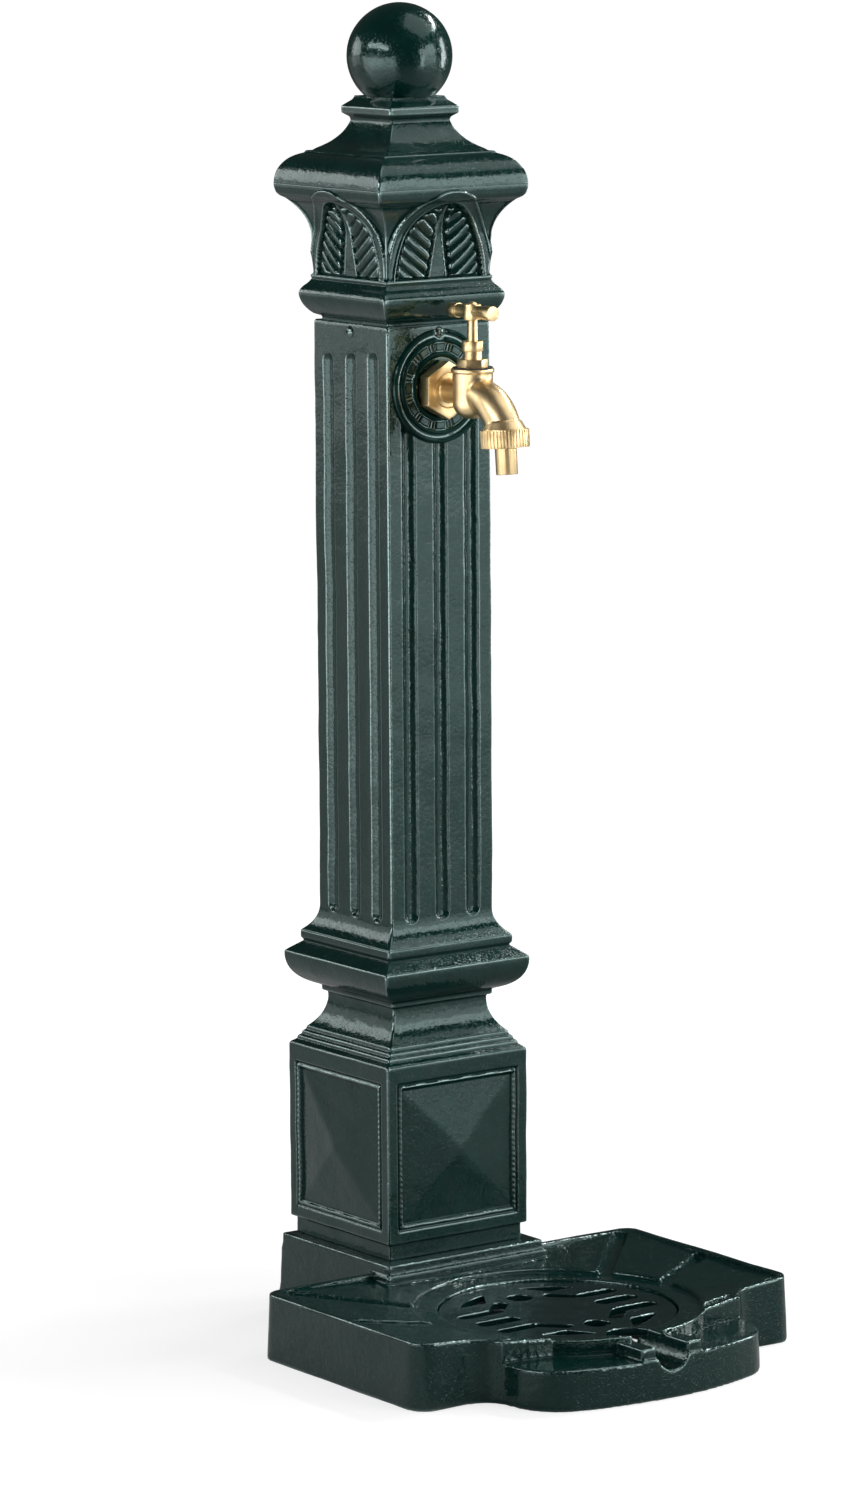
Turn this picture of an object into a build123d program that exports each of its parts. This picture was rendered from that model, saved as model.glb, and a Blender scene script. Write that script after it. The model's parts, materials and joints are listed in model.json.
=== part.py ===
from build123d import *
import os
from math import atan2, cos, degrees, hypot, radians, sin, sqrt

# Garden standpipe: a square fluted column on a drip basin, with a brass tap.
# Millimetres, +Z up. While it is drawn, the column's axis is X = Y = 0 and the
# front is -Y. At the end everything moves so that the origin is the centre of
# the footprint on the ground.

# Whole object
HEIGHT = 800.0
BASE_WIDTH = 280.0
BASE_DEPTH = 320.0
BACK_REACH = 55.0  # from the column's axis to the back of the base
FRONT_REACH = BASE_DEPTH - BACK_REACH

# Clearances
FIT = 0.05  # between threads, and between a fixed cylinder and its hole
RUNNING_FIT = 0.05  # between a turning stem and its hole
LOOSE = 0.8  # round a part that lifts out, or a bolt in its hole
OVERRUN = 5.0  # how far cutting bodies reach past what they cut

# Base casting
BASE_WALL = 7.0
BASE_DRAFT = 2.4  # degrees
RIM_TOP = 40.2
RIM_WIDTH = 5.0
CHANNEL_DROP = 2.6
RING_FLOOR_TOP = 31.0
PLATE_UNDERSIDE = 22.5  # underside of the basin's floor
PLATFORM_TOP = 46.9
PLATFORM_HALF = 60.0
PLATFORM_FRONT = 62.0
PLATFORM_PLATE = 9.0
SHOULDER_BACK = 41.0  # rear edge of the basin, in front of the axis
SHOULDER_RADIUS = 12.0
FRONT_CORNER_RADIUS = 14.0
LOBE_DEPTH = 60.0
FRONT_EDGE = FRONT_REACH - LOBE_DEPTH
LOBE_SHOULDER = 52.0  # from the side of the base in to the lobe
LOBE_NECK_HALF = BASE_WIDTH / 2 - LOBE_SHOULDER
LOBE_HOLLOW_RADIUS = 18.0
LOBE_ROUND_RADIUS = 33.0
LOBE_HEIGHT = 24.0
SHELF_INSET = 31.0
SHELF_DEPTH = 44.0
FRONT_WALL_HALF = LOBE_NECK_HALF - SHELF_INSET
FRONT_WALL_REACH = FRONT_REACH - SHELF_DEPTH
FRONT_WALL_LOW_TOP = 35.0
PANEL_FLOOR_TOP = 33.8  # beside the ring
PANEL_RISE_SHARE = 0.075  # rise of the panels per distance from the grate
RING_OVERLAP = 9.0
RING_OUTER = (FRONT_WALL_REACH - PLATFORM_FRONT) / 2 + RING_OVERLAP
RING_EDGE = 2.5
RING_STEP = RING_OUTER - RING_EDGE
RING_SETBACK = 24.5  # from the front of the lobe to the ring
GRATE_REACH = FRONT_REACH - RING_SETBACK - RING_OUTER  # to the grate's centre
CHANNEL_WIDTH = 9.0
SPOUT_HALF = 22.0
SPOUT_SETBACK = 3.0
SPOUT_REACH = FRONT_REACH - SPOUT_SETBACK
SPOUT_TOP = 31.0
GROOVE_RADIUS = 11.5
GROOVE_AXIS = 28.0
GROOVE_LENGTH = 51.0
GROOVE_START = FRONT_REACH - GROOVE_LENGTH

# Drain grate
RING_WIDTH = 17.5
GRATE_RADIUS = RING_OUTER - RING_WIDTH
GRATE_TOP = 29.5
GRATE_THICK = 5.0
SEAT_WIDTH = 7.0
WELL_RADIUS = GRATE_RADIUS - SEAT_WIDTH
WELL_WALL = 8.0
SLOT_END_SHARE = 0.455  # corner radius of a slot, of its width

# Column casting
HEAD_HEIGHT = 189.5  # from the top of the shaft to the top of the ball
FOOT_HALF = 49.5
FOOT_HEIGHT = 10.0
DIE_HALF = 52.3
DIE_TOP = 164.0
SHAFT_HALF = 38.0
SHAFT_FOOT = 252.0
SHAFT_TOP = HEIGHT - HEAD_HEIGHT
SHAFT_WALL = 7.0
DIE_CAVITY_HALF = 39.0
DIE_CAVITY_TOP = 158.0
CORNER_ROUND = 1.2
PANEL_HALF = 44.9
PANEL_BOTTOM = 64.6
PANEL_TOP = 155.6
PANEL_DEPTH = 2.6
PANEL_MARGIN = 1.4
PANEL_RAISE = 5.0
PANEL_TIP_SHARE = 0.95  # where the low pyramid is cut off
FLUTE_SPACING = 23.0
FLUTE_HALF = 5.2
FLUTE_DEPTH = 2.5
FLUTE_BOTTOM = 251.0
FLUTE_SETBACK = 17.5
FLUTE_TOP = SHAFT_TOP - FLUTE_SETBACK
FLUTES = 3

# Head casting
NECK_RISE = 134.0  # from the top of the shaft to the foot of the ball
BALL_RADIUS = 31.7
SPIGOT_LENGTH = 22.0
SPIGOT_WALL = 5.0
HEAD_CAVITY_RISE = 79.5

# Head screws
HEAD_SCREW_DROP = 5.0
HEAD_SCREW_Z = SHAFT_TOP - HEAD_SCREW_DROP
HEAD_SCREW_RADIUS = 2.5
HEAD_SCREW_LENGTH = 12.0
HEAD_SCREW_HEAD_RADIUS = 3.6
HEAD_SCREW_HEAD_HEIGHT = 2.2
HEAD_SCREW_CROSS = 3.4
HEAD_SCREW_CROSS_WIDTH = 0.8
HEAD_SCREW_CROSS_DEPTH = 1.2

# Bolts under the platform
BOLT_RADIUS = 4.0
BOLT_LENGTH = 25.0
BOLT_HEAD_FLATS = 13.0
BOLT_HEAD_HEIGHT = 5.3
BOLT_SETBACK = 23.0  # from the back of the base to the rear bolts
BOLT_SPACING = 2 * (BACK_REACH - BOLT_SETBACK)
BOLT_BOSS_HALF = 8.5
BOLT_BOSS_HEIGHT = 30.0
WASHER_RADIUS = 8.0
WASHER_THICK = 1.6

# Rosette on the front face
TAP_DROP = 39.0  # from the top of the shaft to the tap's shank
TAP_Z = SHAFT_TOP - TAP_DROP
ROSETTE_RISE = 1.8
ROSETTE_Z = TAP_Z + ROSETTE_RISE
ROSETTE_RADIUS = 34.0
ROSETTE_EDGE = 2.4
ROSETTE_RAISE = 1.5
ROSETTE_SECOND_RADIUS = 29.0
ROSETTE_INNER_RADIUS = 18.6
ROSETTE_BLOCKS = 12
ROSETTE_BLOCK_GAP = 2.0
ROSETTE_BLOCK_RAISE = 0.8

# Supply line inside the column
THREAD_RADIUS = 10.48  # a half inch pipe thread
PIPE_BORE = 8.1
FITTING_RADIUS = 14.0
SOCKET_DEPTH = 14.0
SOCKET_REACH = 26.0
INLET_Z = 110.0
INLET_LAND_RADIUS = 19.0
INLET_LAND = 49.6  # flat on the back panel that the gasket lies on
INLET_FLANGE_RADIUS = 17.0
INLET_FLANGE_THICK = 3.2
INLET_BARREL_RADIUS = 13.2
INLET_THREAD_RADIUS = 9.3
INLET_THREAD_LENGTH = 15.0
INLET_NUT_FLATS = 34.0
INLET_NUT_THICK = 7.0
GASKET_THICK = 1.5
GASKET_RADIUS = 16.0

# Tap: shank, wall nut and body
TAP_NUT_FLATS = 30.4
TAP_NUT_THICK = 8.5
TAP_GASKET_RADIUS = 15.5
TAP_GASKET_THICK = 2.0
TAP_REACH = 72.0  # from the column's axis to the barrel's axis
SHANK_RADIUS = 7.25
SHANK_BORE = 4.8
BARREL_RADIUS = 12.0
BARREL_BORE = 9.2
BARREL_RISE = 15.0
BARREL_DROP = 14.9
BARREL_TOP = TAP_Z + BARREL_RISE
BARREL_BOTTOM = TAP_Z - BARREL_DROP
BARREL_ROUND = 9.5
BARREL_BEAD = 0.9
BARREL_BEAD_HEIGHT = 2.2
LOWER_CHAMBER_DROP = 10.9
LOWER_CHAMBER_HEIGHT = 5.8
LOWER_CHAMBER_BOTTOM = TAP_Z - LOWER_CHAMBER_DROP
LOWER_CHAMBER_TOP = LOWER_CHAMBER_BOTTOM + LOWER_CHAMBER_HEIGHT
LOWER_CHAMBER_RADIUS = 8.0
SLANT_RADIUS = 3.4
SEAT_DROP = 0.5
SEAT_LIP_HEIGHT = 0.8
SEAT_TOP = TAP_Z - SEAT_DROP
SEAT_FLOOR = SEAT_TOP - SEAT_LIP_HEIGHT
SEAT_LIP_RADIUS = 6.0
SEAT_BORE = 4.3

# Tap: spout and outlet
OUTLET_TILT = 5.0  # degrees, leaning out at the bottom
OUTLET_OFFSET = 31.4  # from the barrel's axis to the outlet
OUTLET_REACH = TAP_REACH + OUTLET_OFFSET
OUTLET_DROP = 18.9
OUTLET_Z = TAP_Z - OUTLET_DROP
OUTLET_RADIUS = 12.9
OUTLET_THREAD = 5.0
OUTLET_BORE = 6.0
OUTLET_FLARE = 5.0  # height of the cone from the spout to the outlet
SPOUT_NECK_RADIUS = 10.0
SPOUT_MID_RADIUS = 10.7
SPOUT_END_RADIUS = 10.2
SPOUT_ROOT_OFFSET = 6.0
SPOUT_KNEE_OFFSET = 22.0
SPOUT_KNEE_DROP = 7.0
SPOUT_WALL = 4.2

# Tap: union nut, washer and hose tail, along the outlet's axis
UNION_RADIUS = 14.5
UNION_LENGTH = 10.6
UNION_THREAD_LENGTH = 8.2
UNION_KNURL_DEPTH = 0.5
UNION_KNURLS = 40
UNION_LIP_RADIUS = 7.3
TAIL_RADIUS = 6.5
TAIL_NECK_RADIUS = 6.9
TAIL_NECK_REST = 0.4  # how far the neck shows under the union nut
TAIL_BORE = 4.6
TAIL_FLANGE_RADIUS = 11.8
TAIL_LENGTH = 26.5
UNION_WASHER_THICK = 1.6

# Tap: headpiece
BONNET_SEAL_THICK = 0.8
BONNET_SEAL_INNER = 9.4
BONNET_SPIGOT = 7.4
BONNET_FLATS = 16.0
BONNET_HEX_HEIGHT = 4.6
BONNET_NECK_RADIUS = 5.6
BONNET_NECK_HEIGHT = 6.2
BONNET_THREAD_BORE = 4.6
GLAND_RADIUS = 6.4
GLAND_HEIGHT = 6.0
GLAND_TOP_WALL = 4.6
PACKING_RADIUS = 4.4
PACKING_HEIGHT = 4.0

# Tap: spindle, valve and handle
SPINDLE_RADIUS = 3.1
SPINDLE_THREAD_LENGTH = 8.0
HANDLE_RISE = 48.5
HANDLE_Z = TAP_Z + HANDLE_RISE
SPINDLE_TIP = 1.0  # how far the spindle stands above the cross bar's axis
SPINDLE_TOP = HANDLE_Z + SPINDLE_TIP
SPINDLE_SOCKET_DEPTH = 6.5
JUMPER_RADIUS = 7.2
JUMPER_THICK = 2.2
JUMPER_STEM_RADIUS = 2.4
JUMPER_STEM_LENGTH = 6.0
JUMPER_STUD_RADIUS = 1.6
VALVE_WASHER_RADIUS = 7.0
VALVE_WASHER_THICK = 2.6
JUMPER_NUT_RADIUS = 3.3
JUMPER_NUT_THICK = 2.0
HANDLE_HALF = 20.4
HANDLE_RADIUS = 3.9
HANDLE_END_RADIUS = 4.4
HANDLE_END_LENGTH = 7.0
HUB_RADIUS = 5.4
HUB_BELOW = 4.6
HUB_ABOVE = 4.4
HANDLE_SCREW_RADIUS = 1.5
HANDLE_SCREW_LENGTH = 7.0
HANDLE_SCREW_HEAD_RADIUS = 3.0
HANDLE_SCREW_HEAD_HEIGHT = 1.8

# Profiles of the mouldings, from the bottom up: half-width as a share of the
# shaft's half-width, height as a share of the moulding's height, and the bow of
# the stretch that ends there as a share of its chord, positive outwards.
base_moulding_shares = [
    (1.376, 0.000, 0.0), (1.326, 0.039, 0.20), (1.279, 0.052, 0.0), (1.279, 0.070, 0.0),
    (1.226, 0.086, 0.0), (1.226, 0.105, 0.0), (1.174, 0.120, 0.0), (1.174, 0.139, 0.0),
    (0.921, 0.352, -0.10), (0.921, 0.393, 0.0), (0.989, 0.400, 0.0), (0.989, 0.436, 0.0),
    (1.079, 0.450, 0.0), (1.421, 0.636, 0.16), (1.421, 0.673, 0.0), (1.184, 0.750, 0.0),
    (1.226, 0.770, 0.0), (1.226, 0.820, 0.0), (1.200, 0.832, 0.0), (1.000, 1.000, -0.11),
]
head_moulding_shares = [
    (1.000, 0.000, 0.0), (1.008, 0.019, 0.0), (1.179, 0.108, 0.09), (1.179, 0.122, 0.0),
    (1.079, 0.160, 0.08), (0.995, 0.209, -0.08), (1.032, 0.399, 0.0), (1.310, 0.537, -0.09),
    (1.421, 0.566, 0.0), (1.445, 0.597, 0.0), (1.436, 0.637, 0.0), (1.066, 0.750, 0.115),
    (0.947, 0.768, 0.0), (0.566, 0.892, -0.10), (0.579, 0.907, 0.0), (0.539, 1.000, 0.36),
]
# The basin's four floor channels: the rear edge of each right-hand one, from
# the ring outwards, as shares of the base's half-width and depth.
channel_edge_shares = [
    ((0.486, 0.320), (0.807, 0.178)),
    ((0.604, 0.445), (0.900, 0.375)),
]
# The openings of the drain grate, in one quarter, as shares of its radius.
grate_shares = {
    "slot": 0.155, "slot_inner": 0.408, "slot_outer": 0.831,
    "bent_slot": 0.127, "bent_offset": 0.282, "bend_outer": 0.789, "bend_knee": 0.437,
    "bend_inner": 0.239, "bend_tip": 0.479,
    "hole": 0.113, "hole_offset": 0.542,
    "crescent": 0.824, "crescent_near": 0.183, "crescent_far": 0.606, "crescent_width": 0.169,
    "notch": 0.211,
}


def block(x0, x1, y0, y1, z0, z1):
    """A box between its six limits."""
    centre = Pos((x0 + x1) / 2, (y0 + y1) / 2, (z0 + z1) / 2)
    return centre * Box(x1 - x0, y1 - y0, z1 - z0)


def post(radius, z0, z1, x=0.0, y=0.0):
    """An upright cylinder between two heights."""
    return Pos(x, y, (z0 + z1) / 2) * Cylinder(radius, z1 - z0)


def bar(radius, y0, y1, z, x=0.0):
    """A cylinder along Y between two places."""
    return Pos(x, (y0 + y1) / 2, z) * Rot(90, 0, 0) * Cylinder(radius, y1 - y0)


def hexagon(flats, thick):
    """A hexagonal prism about Z, from zero up, with corners on X."""
    return extrude(RegularPolygon(flats / 2, 6, major_radius=False), thick)


def moulding(rows, width, bottom, height):
    """Square solid whose four faces follow one profile, mitred at the corners."""
    points = [(share * width, bottom + climb * height, bow) for share, climb, bow in rows]
    edges = []
    for (w0, z0, _), (w1, z1, bow) in zip(points, points[1:]):
        if bow:
            middle = ((w0 + w1) / 2 + (z1 - z0) * bow, (z0 + z1) / 2 - (w1 - w0) * bow)
            edges.append(ThreePointArc((w0, z0), middle, (w1, z1)))
        else:
            edges.append(Line((w0, z0), (w1, z1)))
    first = points[0]
    last = points[-1]
    edges.append(Line((last[0], last[1]), (0, last[1])))
    edges.append(Line((0, last[1]), (0, first[1])))
    edges.append(Line((0, first[1]), (first[0], first[1])))
    half = make_face(Wire(edges))
    reach = 2 * max(row[0] for row in points)
    across = Rot(90, 0, 0) * extrude(half, reach, both=True)
    across = across + across.mirror(Plane.YZ)
    return across & (Rot(0, 0, 90) * across)


def rounded_corners(solid, half, bottom, top):
    """Takes the sharp upright corners off a plain square stretch."""
    keep = post(half * sqrt(2) - CORNER_ROUND, bottom, top)
    stretch = block(-half - OVERRUN, half + OVERRUN, -half - OVERRUN, half + OVERRUN, bottom, top)
    return solid - (stretch - keep)


def around_column(solid):
    """The same body on each of the column's four faces."""
    return [Rot(0, 0, 90 * turn) * solid for turn in range(4)]


def rise(plan, height, taper=0.0):
    """A plan drawn on the ground, raised to a height."""
    return extrude(plan, height, dir=(0, 0, 1), taper=taper)


def base_outline(reach):
    """Plan of the base at the ground: platform, basin and the lobe in front."""
    half = BASE_WIDTH / 2
    shoulder = -SHOULDER_BACK
    front = -FRONT_EDGE
    neck = LOBE_NECK_HALF
    hollow = LOBE_HOLLOW_RADIUS
    knee = (LOBE_NECK_HALF - LOBE_ROUND_RADIUS, front - hollow)
    # The flat bow at the very front is tangent to the lobe's corners.
    drop = reach + knee[1]
    corner = LOBE_ROUND_RADIUS
    bow = (knee[0] ** 2 + (drop - corner) ** 2 + 2 * (drop - corner) * corner) / (2 * (drop - corner))
    bow_centre = bow - reach
    aim = atan2(knee[1] - bow_centre, knee[0])
    meet = (knee[0] + corner * cos(aim), knee[1] + corner * sin(aim))
    lobe_mid = (knee[0] + corner * cos(aim / 2), knee[1] + corner * sin(aim / 2))
    slant = sqrt(0.5)
    hollow_mid = (neck + hollow - hollow * slant, front - hollow + hollow * slant)
    shoulder_mid = SHOULDER_RADIUS * (1 - slant)
    corner_mid = FRONT_CORNER_RADIUS * (1 - slant)
    bow_aim = atan2(meet[0], bow_centre - meet[1]) / 2
    bow_mid = (bow * sin(bow_aim), bow_centre - bow * cos(bow_aim))
    right = [
        ThreePointArc((0, -reach), bow_mid, meet),
        ThreePointArc(meet, lobe_mid, (neck, front - hollow)),
        ThreePointArc((neck, front - hollow), hollow_mid, (neck + hollow, front)),
        Line((neck + hollow, front), (half - FRONT_CORNER_RADIUS, front)),
        ThreePointArc(
            (half - FRONT_CORNER_RADIUS, front),
            (half - corner_mid, front + corner_mid),
            (half, front + FRONT_CORNER_RADIUS),
        ),
        Line((half, front + FRONT_CORNER_RADIUS), (half, shoulder - SHOULDER_RADIUS)),
        ThreePointArc(
            (half, shoulder - SHOULDER_RADIUS),
            (half - shoulder_mid, shoulder - shoulder_mid),
            (half - SHOULDER_RADIUS, shoulder),
        ),
        Line((half - SHOULDER_RADIUS, shoulder), (PLATFORM_HALF, shoulder)),
        Line((PLATFORM_HALF, shoulder), (PLATFORM_HALF, BACK_REACH)),
        Line((PLATFORM_HALF, BACK_REACH), (0, BACK_REACH)),
    ]
    return make_face(Wire(right + [edge.mirror(Plane.YZ) for edge in right]))


def basin_outline():
    """Plan of the basin's walls above the front shelves."""
    half = BASE_WIDTH / 2
    wall = Polyline(
        (0, BACK_REACH), (PLATFORM_HALF, BACK_REACH), (PLATFORM_HALF, -SHOULDER_BACK),
        (half + OVERRUN, -SHOULDER_BACK), (half + OVERRUN, -FRONT_EDGE),
        (FRONT_WALL_HALF, -FRONT_WALL_REACH), (0, -FRONT_WALL_REACH), close=True,
    )
    face = make_face(wall)
    ring = Pos(0, -GRATE_REACH) * Circle(RING_OUTER)
    return face + face.mirror(Plane.YZ) + ring


def floor_cone(drop):
    """Everything above the sloping floor, lowered by a drop."""
    reach = BASE_WIDTH
    centre_z = PANEL_FLOOR_TOP - PANEL_RISE_SHARE * RING_STEP - drop
    edge_z = centre_z + PANEL_RISE_SHARE * reach
    top = PLATFORM_TOP + OVERRUN
    section = make_face(Polyline((0, centre_z), (reach, edge_z), (reach, top), (0, top), close=True))
    return Pos(0, -GRATE_REACH, 0) * revolve(Plane.XZ * section, Axis.Z)


def channels():
    """Strips of the floor that lie lower and lead to the ring."""
    strips = []
    half = BASE_WIDTH / 2
    for (x_in, y_in), (x_out, y_out) in channel_edge_shares:
        start = (x_in * half, -y_in * BASE_DEPTH)
        end = (x_out * half, -y_out * BASE_DEPTH)
        run = hypot(end[0] - start[0], end[1] - start[1])
        turn = degrees(atan2(end[1] - start[1], end[0] - start[0]))
        strip = block(-OVERRUN, run + OVERRUN + CHANNEL_WIDTH, -CHANNEL_WIDTH, 0, 0, HEIGHT)
        strips.append(Pos(start[0], start[1], 0) * Rot(0, 0, turn) * strip)
    # A gutter along the inside of each straight front wall.
    inner = FRONT_WALL_REACH - RIM_WIDTH
    outer = FRONT_EDGE - RIM_WIDTH
    span = half - FRONT_WALL_HALF
    turn = degrees(atan2(inner - outer, span))
    gutter = block(0, span + RIM_WIDTH, 0, CHANNEL_WIDTH, 0, HEIGHT)
    strips.append(Pos(FRONT_WALL_HALF, -inner, 0) * Rot(0, 0, turn) * gutter)
    joined = strips[0] + strips[1] + strips[2]
    return joined + joined.mirror(Plane.YZ)


def base_basin():
    half = BASE_WIDTH / 2
    lower = rise(base_outline(FRONT_REACH), LOBE_HEIGHT, BASE_DRAFT)
    full = rise(base_outline(FRONT_REACH), RIM_TOP, BASE_DRAFT)
    upper = full & rise(basin_outline(), RIM_TOP)
    platform = Pos(0, (BACK_REACH - PLATFORM_FRONT) / 2) * Rectangle(
        2 * PLATFORM_HALF, BACK_REACH + PLATFORM_FRONT)
    body = lower + upper + rise(platform, PLATFORM_TOP, BASE_DRAFT)
    body += block(-SPOUT_HALF, SPOUT_HALF, -SPOUT_REACH, -GRATE_REACH, 0, SPOUT_TOP)

    # The basin: inside the rim and above the sloping floor.
    inside = offset(base_outline(FRONT_REACH), amount=-RIM_WIDTH - RIM_TOP * sin(radians(BASE_DRAFT)))
    inside = inside & offset(basin_outline(), amount=-RIM_WIDTH)
    room = rise(inside, HEIGHT) - block(
        -PLATFORM_HALF, PLATFORM_HALF, -PLATFORM_FRONT, BACK_REACH, 0, HEIGHT)
    body -= room & floor_cone(0)
    body -= room & floor_cone(CHANNEL_DROP) & channels()

    # The front walls fall towards the ring, and the ring is a flat step.
    slope = degrees(atan2(RIM_TOP - FRONT_WALL_LOW_TOP, half - FRONT_WALL_HALF))
    wedge = block(-BASE_WIDTH, 0, -FRONT_REACH, -FRONT_EDGE + 2 * RIM_WIDTH, 0, RIM_TOP)
    wedge = Pos(half - RIM_WIDTH, 0, RIM_TOP) * Rot(0, -slope, 0) * wedge
    wedge &= block(FRONT_WALL_HALF, half, -FRONT_REACH, -FRONT_EDGE + 2 * RIM_WIDTH, 0, HEIGHT)
    body -= wedge
    body -= wedge.mirror(Plane.YZ)
    body -= block(-FRONT_WALL_HALF, FRONT_WALL_HALF, -FRONT_REACH, -FRONT_EDGE, PANEL_FLOOR_TOP, HEIGHT)
    body -= post(RING_STEP, RING_FLOOR_TOP, RIM_TOP, 0, -GRATE_REACH) - block(
        -PLATFORM_HALF, PLATFORM_HALF, -PLATFORM_FRONT, BACK_REACH, 0, HEIGHT)

    # The hollow underside, with the drain well, the platform's plate and the
    # block under the spout left standing.
    inner = offset(base_outline(FRONT_REACH), amount=-BASE_WALL)
    under = rise(inner, PLATE_UNDERSIDE) & rise(offset(basin_outline(), amount=-BASE_WALL), PLATE_UNDERSIDE)
    under += rise(inner, LOBE_HEIGHT - BASE_WALL)
    under -= post(WELL_RADIUS + WELL_WALL, 0, RIM_TOP, 0, -GRATE_REACH)
    under -= block(-SPOUT_HALF, SPOUT_HALF, -FRONT_REACH, -GRATE_REACH, 0, RIM_TOP)
    body -= under
    body -= block(
        -PLATFORM_HALF + BASE_WALL, PLATFORM_HALF - BASE_WALL,
        -PLATFORM_FRONT + BASE_WALL, BACK_REACH - BASE_WALL, 0, PLATFORM_TOP - PLATFORM_PLATE)

    # Seat and well of the grate, the groove of the spout, the bolt holes.
    body -= post(GRATE_RADIUS + LOOSE, GRATE_TOP - GRATE_THICK, RIM_TOP, 0, -GRATE_REACH)
    body -= post(WELL_RADIUS, 0, RIM_TOP, 0, -GRATE_REACH)
    body -= bar(GROOVE_RADIUS, -FRONT_REACH - OVERRUN, -GROOVE_START, GROOVE_AXIS)
    body -= block(
        -GROOVE_RADIUS, GROOVE_RADIUS, -FRONT_REACH - OVERRUN, -GROOVE_START, GROOVE_AXIS, RIM_TOP)
    for x, y in bolt_places():
        body -= post(BOLT_RADIUS + LOOSE, 0, HEIGHT, x, y)
    return body


def bolt_places():
    """The four bolts stand on a square under the column's foot."""
    at = BOLT_SPACING / 2
    return [(x, y) for x in (-at, at) for y in (-at, at)]


def grate_slots(part):
    """All openings of the grate, drawn about its centre, as one flat sketch."""
    length = part["slot_outer"] - part["slot_inner"]
    middle = (part["slot_outer"] + part["slot_inner"]) / 2
    slot = part["slot"]
    quarter = []
    quarter.append(Pos(middle, 0) * RectangleRounded(length, slot, slot * SLOT_END_SHARE))
    bend = [
        (part["bend_outer"], part["bent_offset"]),
        (part["bend_knee"], part["bent_offset"]),
        (part["bend_inner"], part["bend_tip"]),
    ]
    slot = part["bent_slot"]
    for (x0, y0), (x1, y1) in zip(bend, bend[1:]):
        run = hypot(x1 - x0, y1 - y0)
        turn = degrees(atan2(y1 - y0, x1 - x0))
        leg = RectangleRounded(run + slot / 2, slot, slot * SLOT_END_SHARE)
        quarter.append(Pos((x0 + x1) / 2, (y0 + y1) / 2) * Rot(0, 0, turn) * leg)
    outer = part["crescent"]
    near = (part["crescent_near"], sqrt(outer ** 2 - part["crescent_near"] ** 2))
    far = (part["crescent_far"], sqrt(outer ** 2 - part["crescent_far"] ** 2))
    aim = (atan2(near[1], near[0]) + atan2(far[1], far[0])) / 2
    top = (outer * cos(aim), outer * sin(aim))
    deep = outer - part["crescent_width"]
    inner = (deep * cos(aim), deep * sin(aim))
    quarter.append(make_face(Wire([ThreePointArc(near, top, far), Line(far, inner), Line(inner, near)])))
    quarter.append(Pos(0, part["hole_offset"]) * Circle(part["hole"]))
    upper = quarter[0]
    for shape in quarter[1:]:
        upper += shape
    right = upper + upper.mirror(Plane.XZ)
    return right + right.mirror(Plane.YZ)


def drain_grate():
    part = {name: share * GRATE_RADIUS for name, share in grate_shares.items()}
    bottom = GRATE_TOP - GRATE_THICK
    plate = post(GRATE_RADIUS, bottom, GRATE_TOP, 0, -GRATE_REACH)
    cuts = Pos(0, -GRATE_REACH, bottom - OVERRUN) * extrude(grate_slots(part), GRATE_THICK + 2 * OVERRUN)
    front = -GRATE_REACH - GRATE_RADIUS
    return plate - cuts - post(part["notch"], bottom - OVERRUN, GRATE_TOP + OVERRUN, 0, front)


def flute():
    """One groove on the front face, with ball-shaped ends."""
    radius = (FLUTE_HALF ** 2 + FLUTE_DEPTH ** 2) / (2 * FLUTE_DEPTH)
    axis = -SHAFT_HALF - radius + FLUTE_DEPTH
    run = post(radius, FLUTE_BOTTOM + FLUTE_HALF, FLUTE_TOP - FLUTE_HALF, 0, axis)
    ends = Pos(0, axis, FLUTE_BOTTOM + FLUTE_HALF) * Sphere(radius)
    return run + ends + Pos(0, axis, FLUTE_TOP - FLUTE_HALF) * Sphere(radius)


def die_panel():
    """Sunk frame on the front face, and the low pyramid that fills it."""
    height = PANEL_TOP - PANEL_BOTTOM
    middle = (PANEL_TOP + PANEL_BOTTOM) / 2
    floor = DIE_HALF - PANEL_DEPTH
    pocket = block(-PANEL_HALF, PANEL_HALF, -DIE_HALF - OVERRUN, -floor, PANEL_BOTTOM, PANEL_TOP)
    foot_half = PANEL_HALF - PANEL_MARGIN
    foot = Rectangle(2 * foot_half, height - 2 * PANEL_MARGIN)
    slope = degrees(atan2(foot_half, PANEL_RAISE))
    stone = extrude(foot, PANEL_RAISE * PANEL_TIP_SHARE, taper=slope)
    stone = Pos(0, -floor, middle) * Rot(90, 0, 0) * stone
    return pocket, stone


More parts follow.
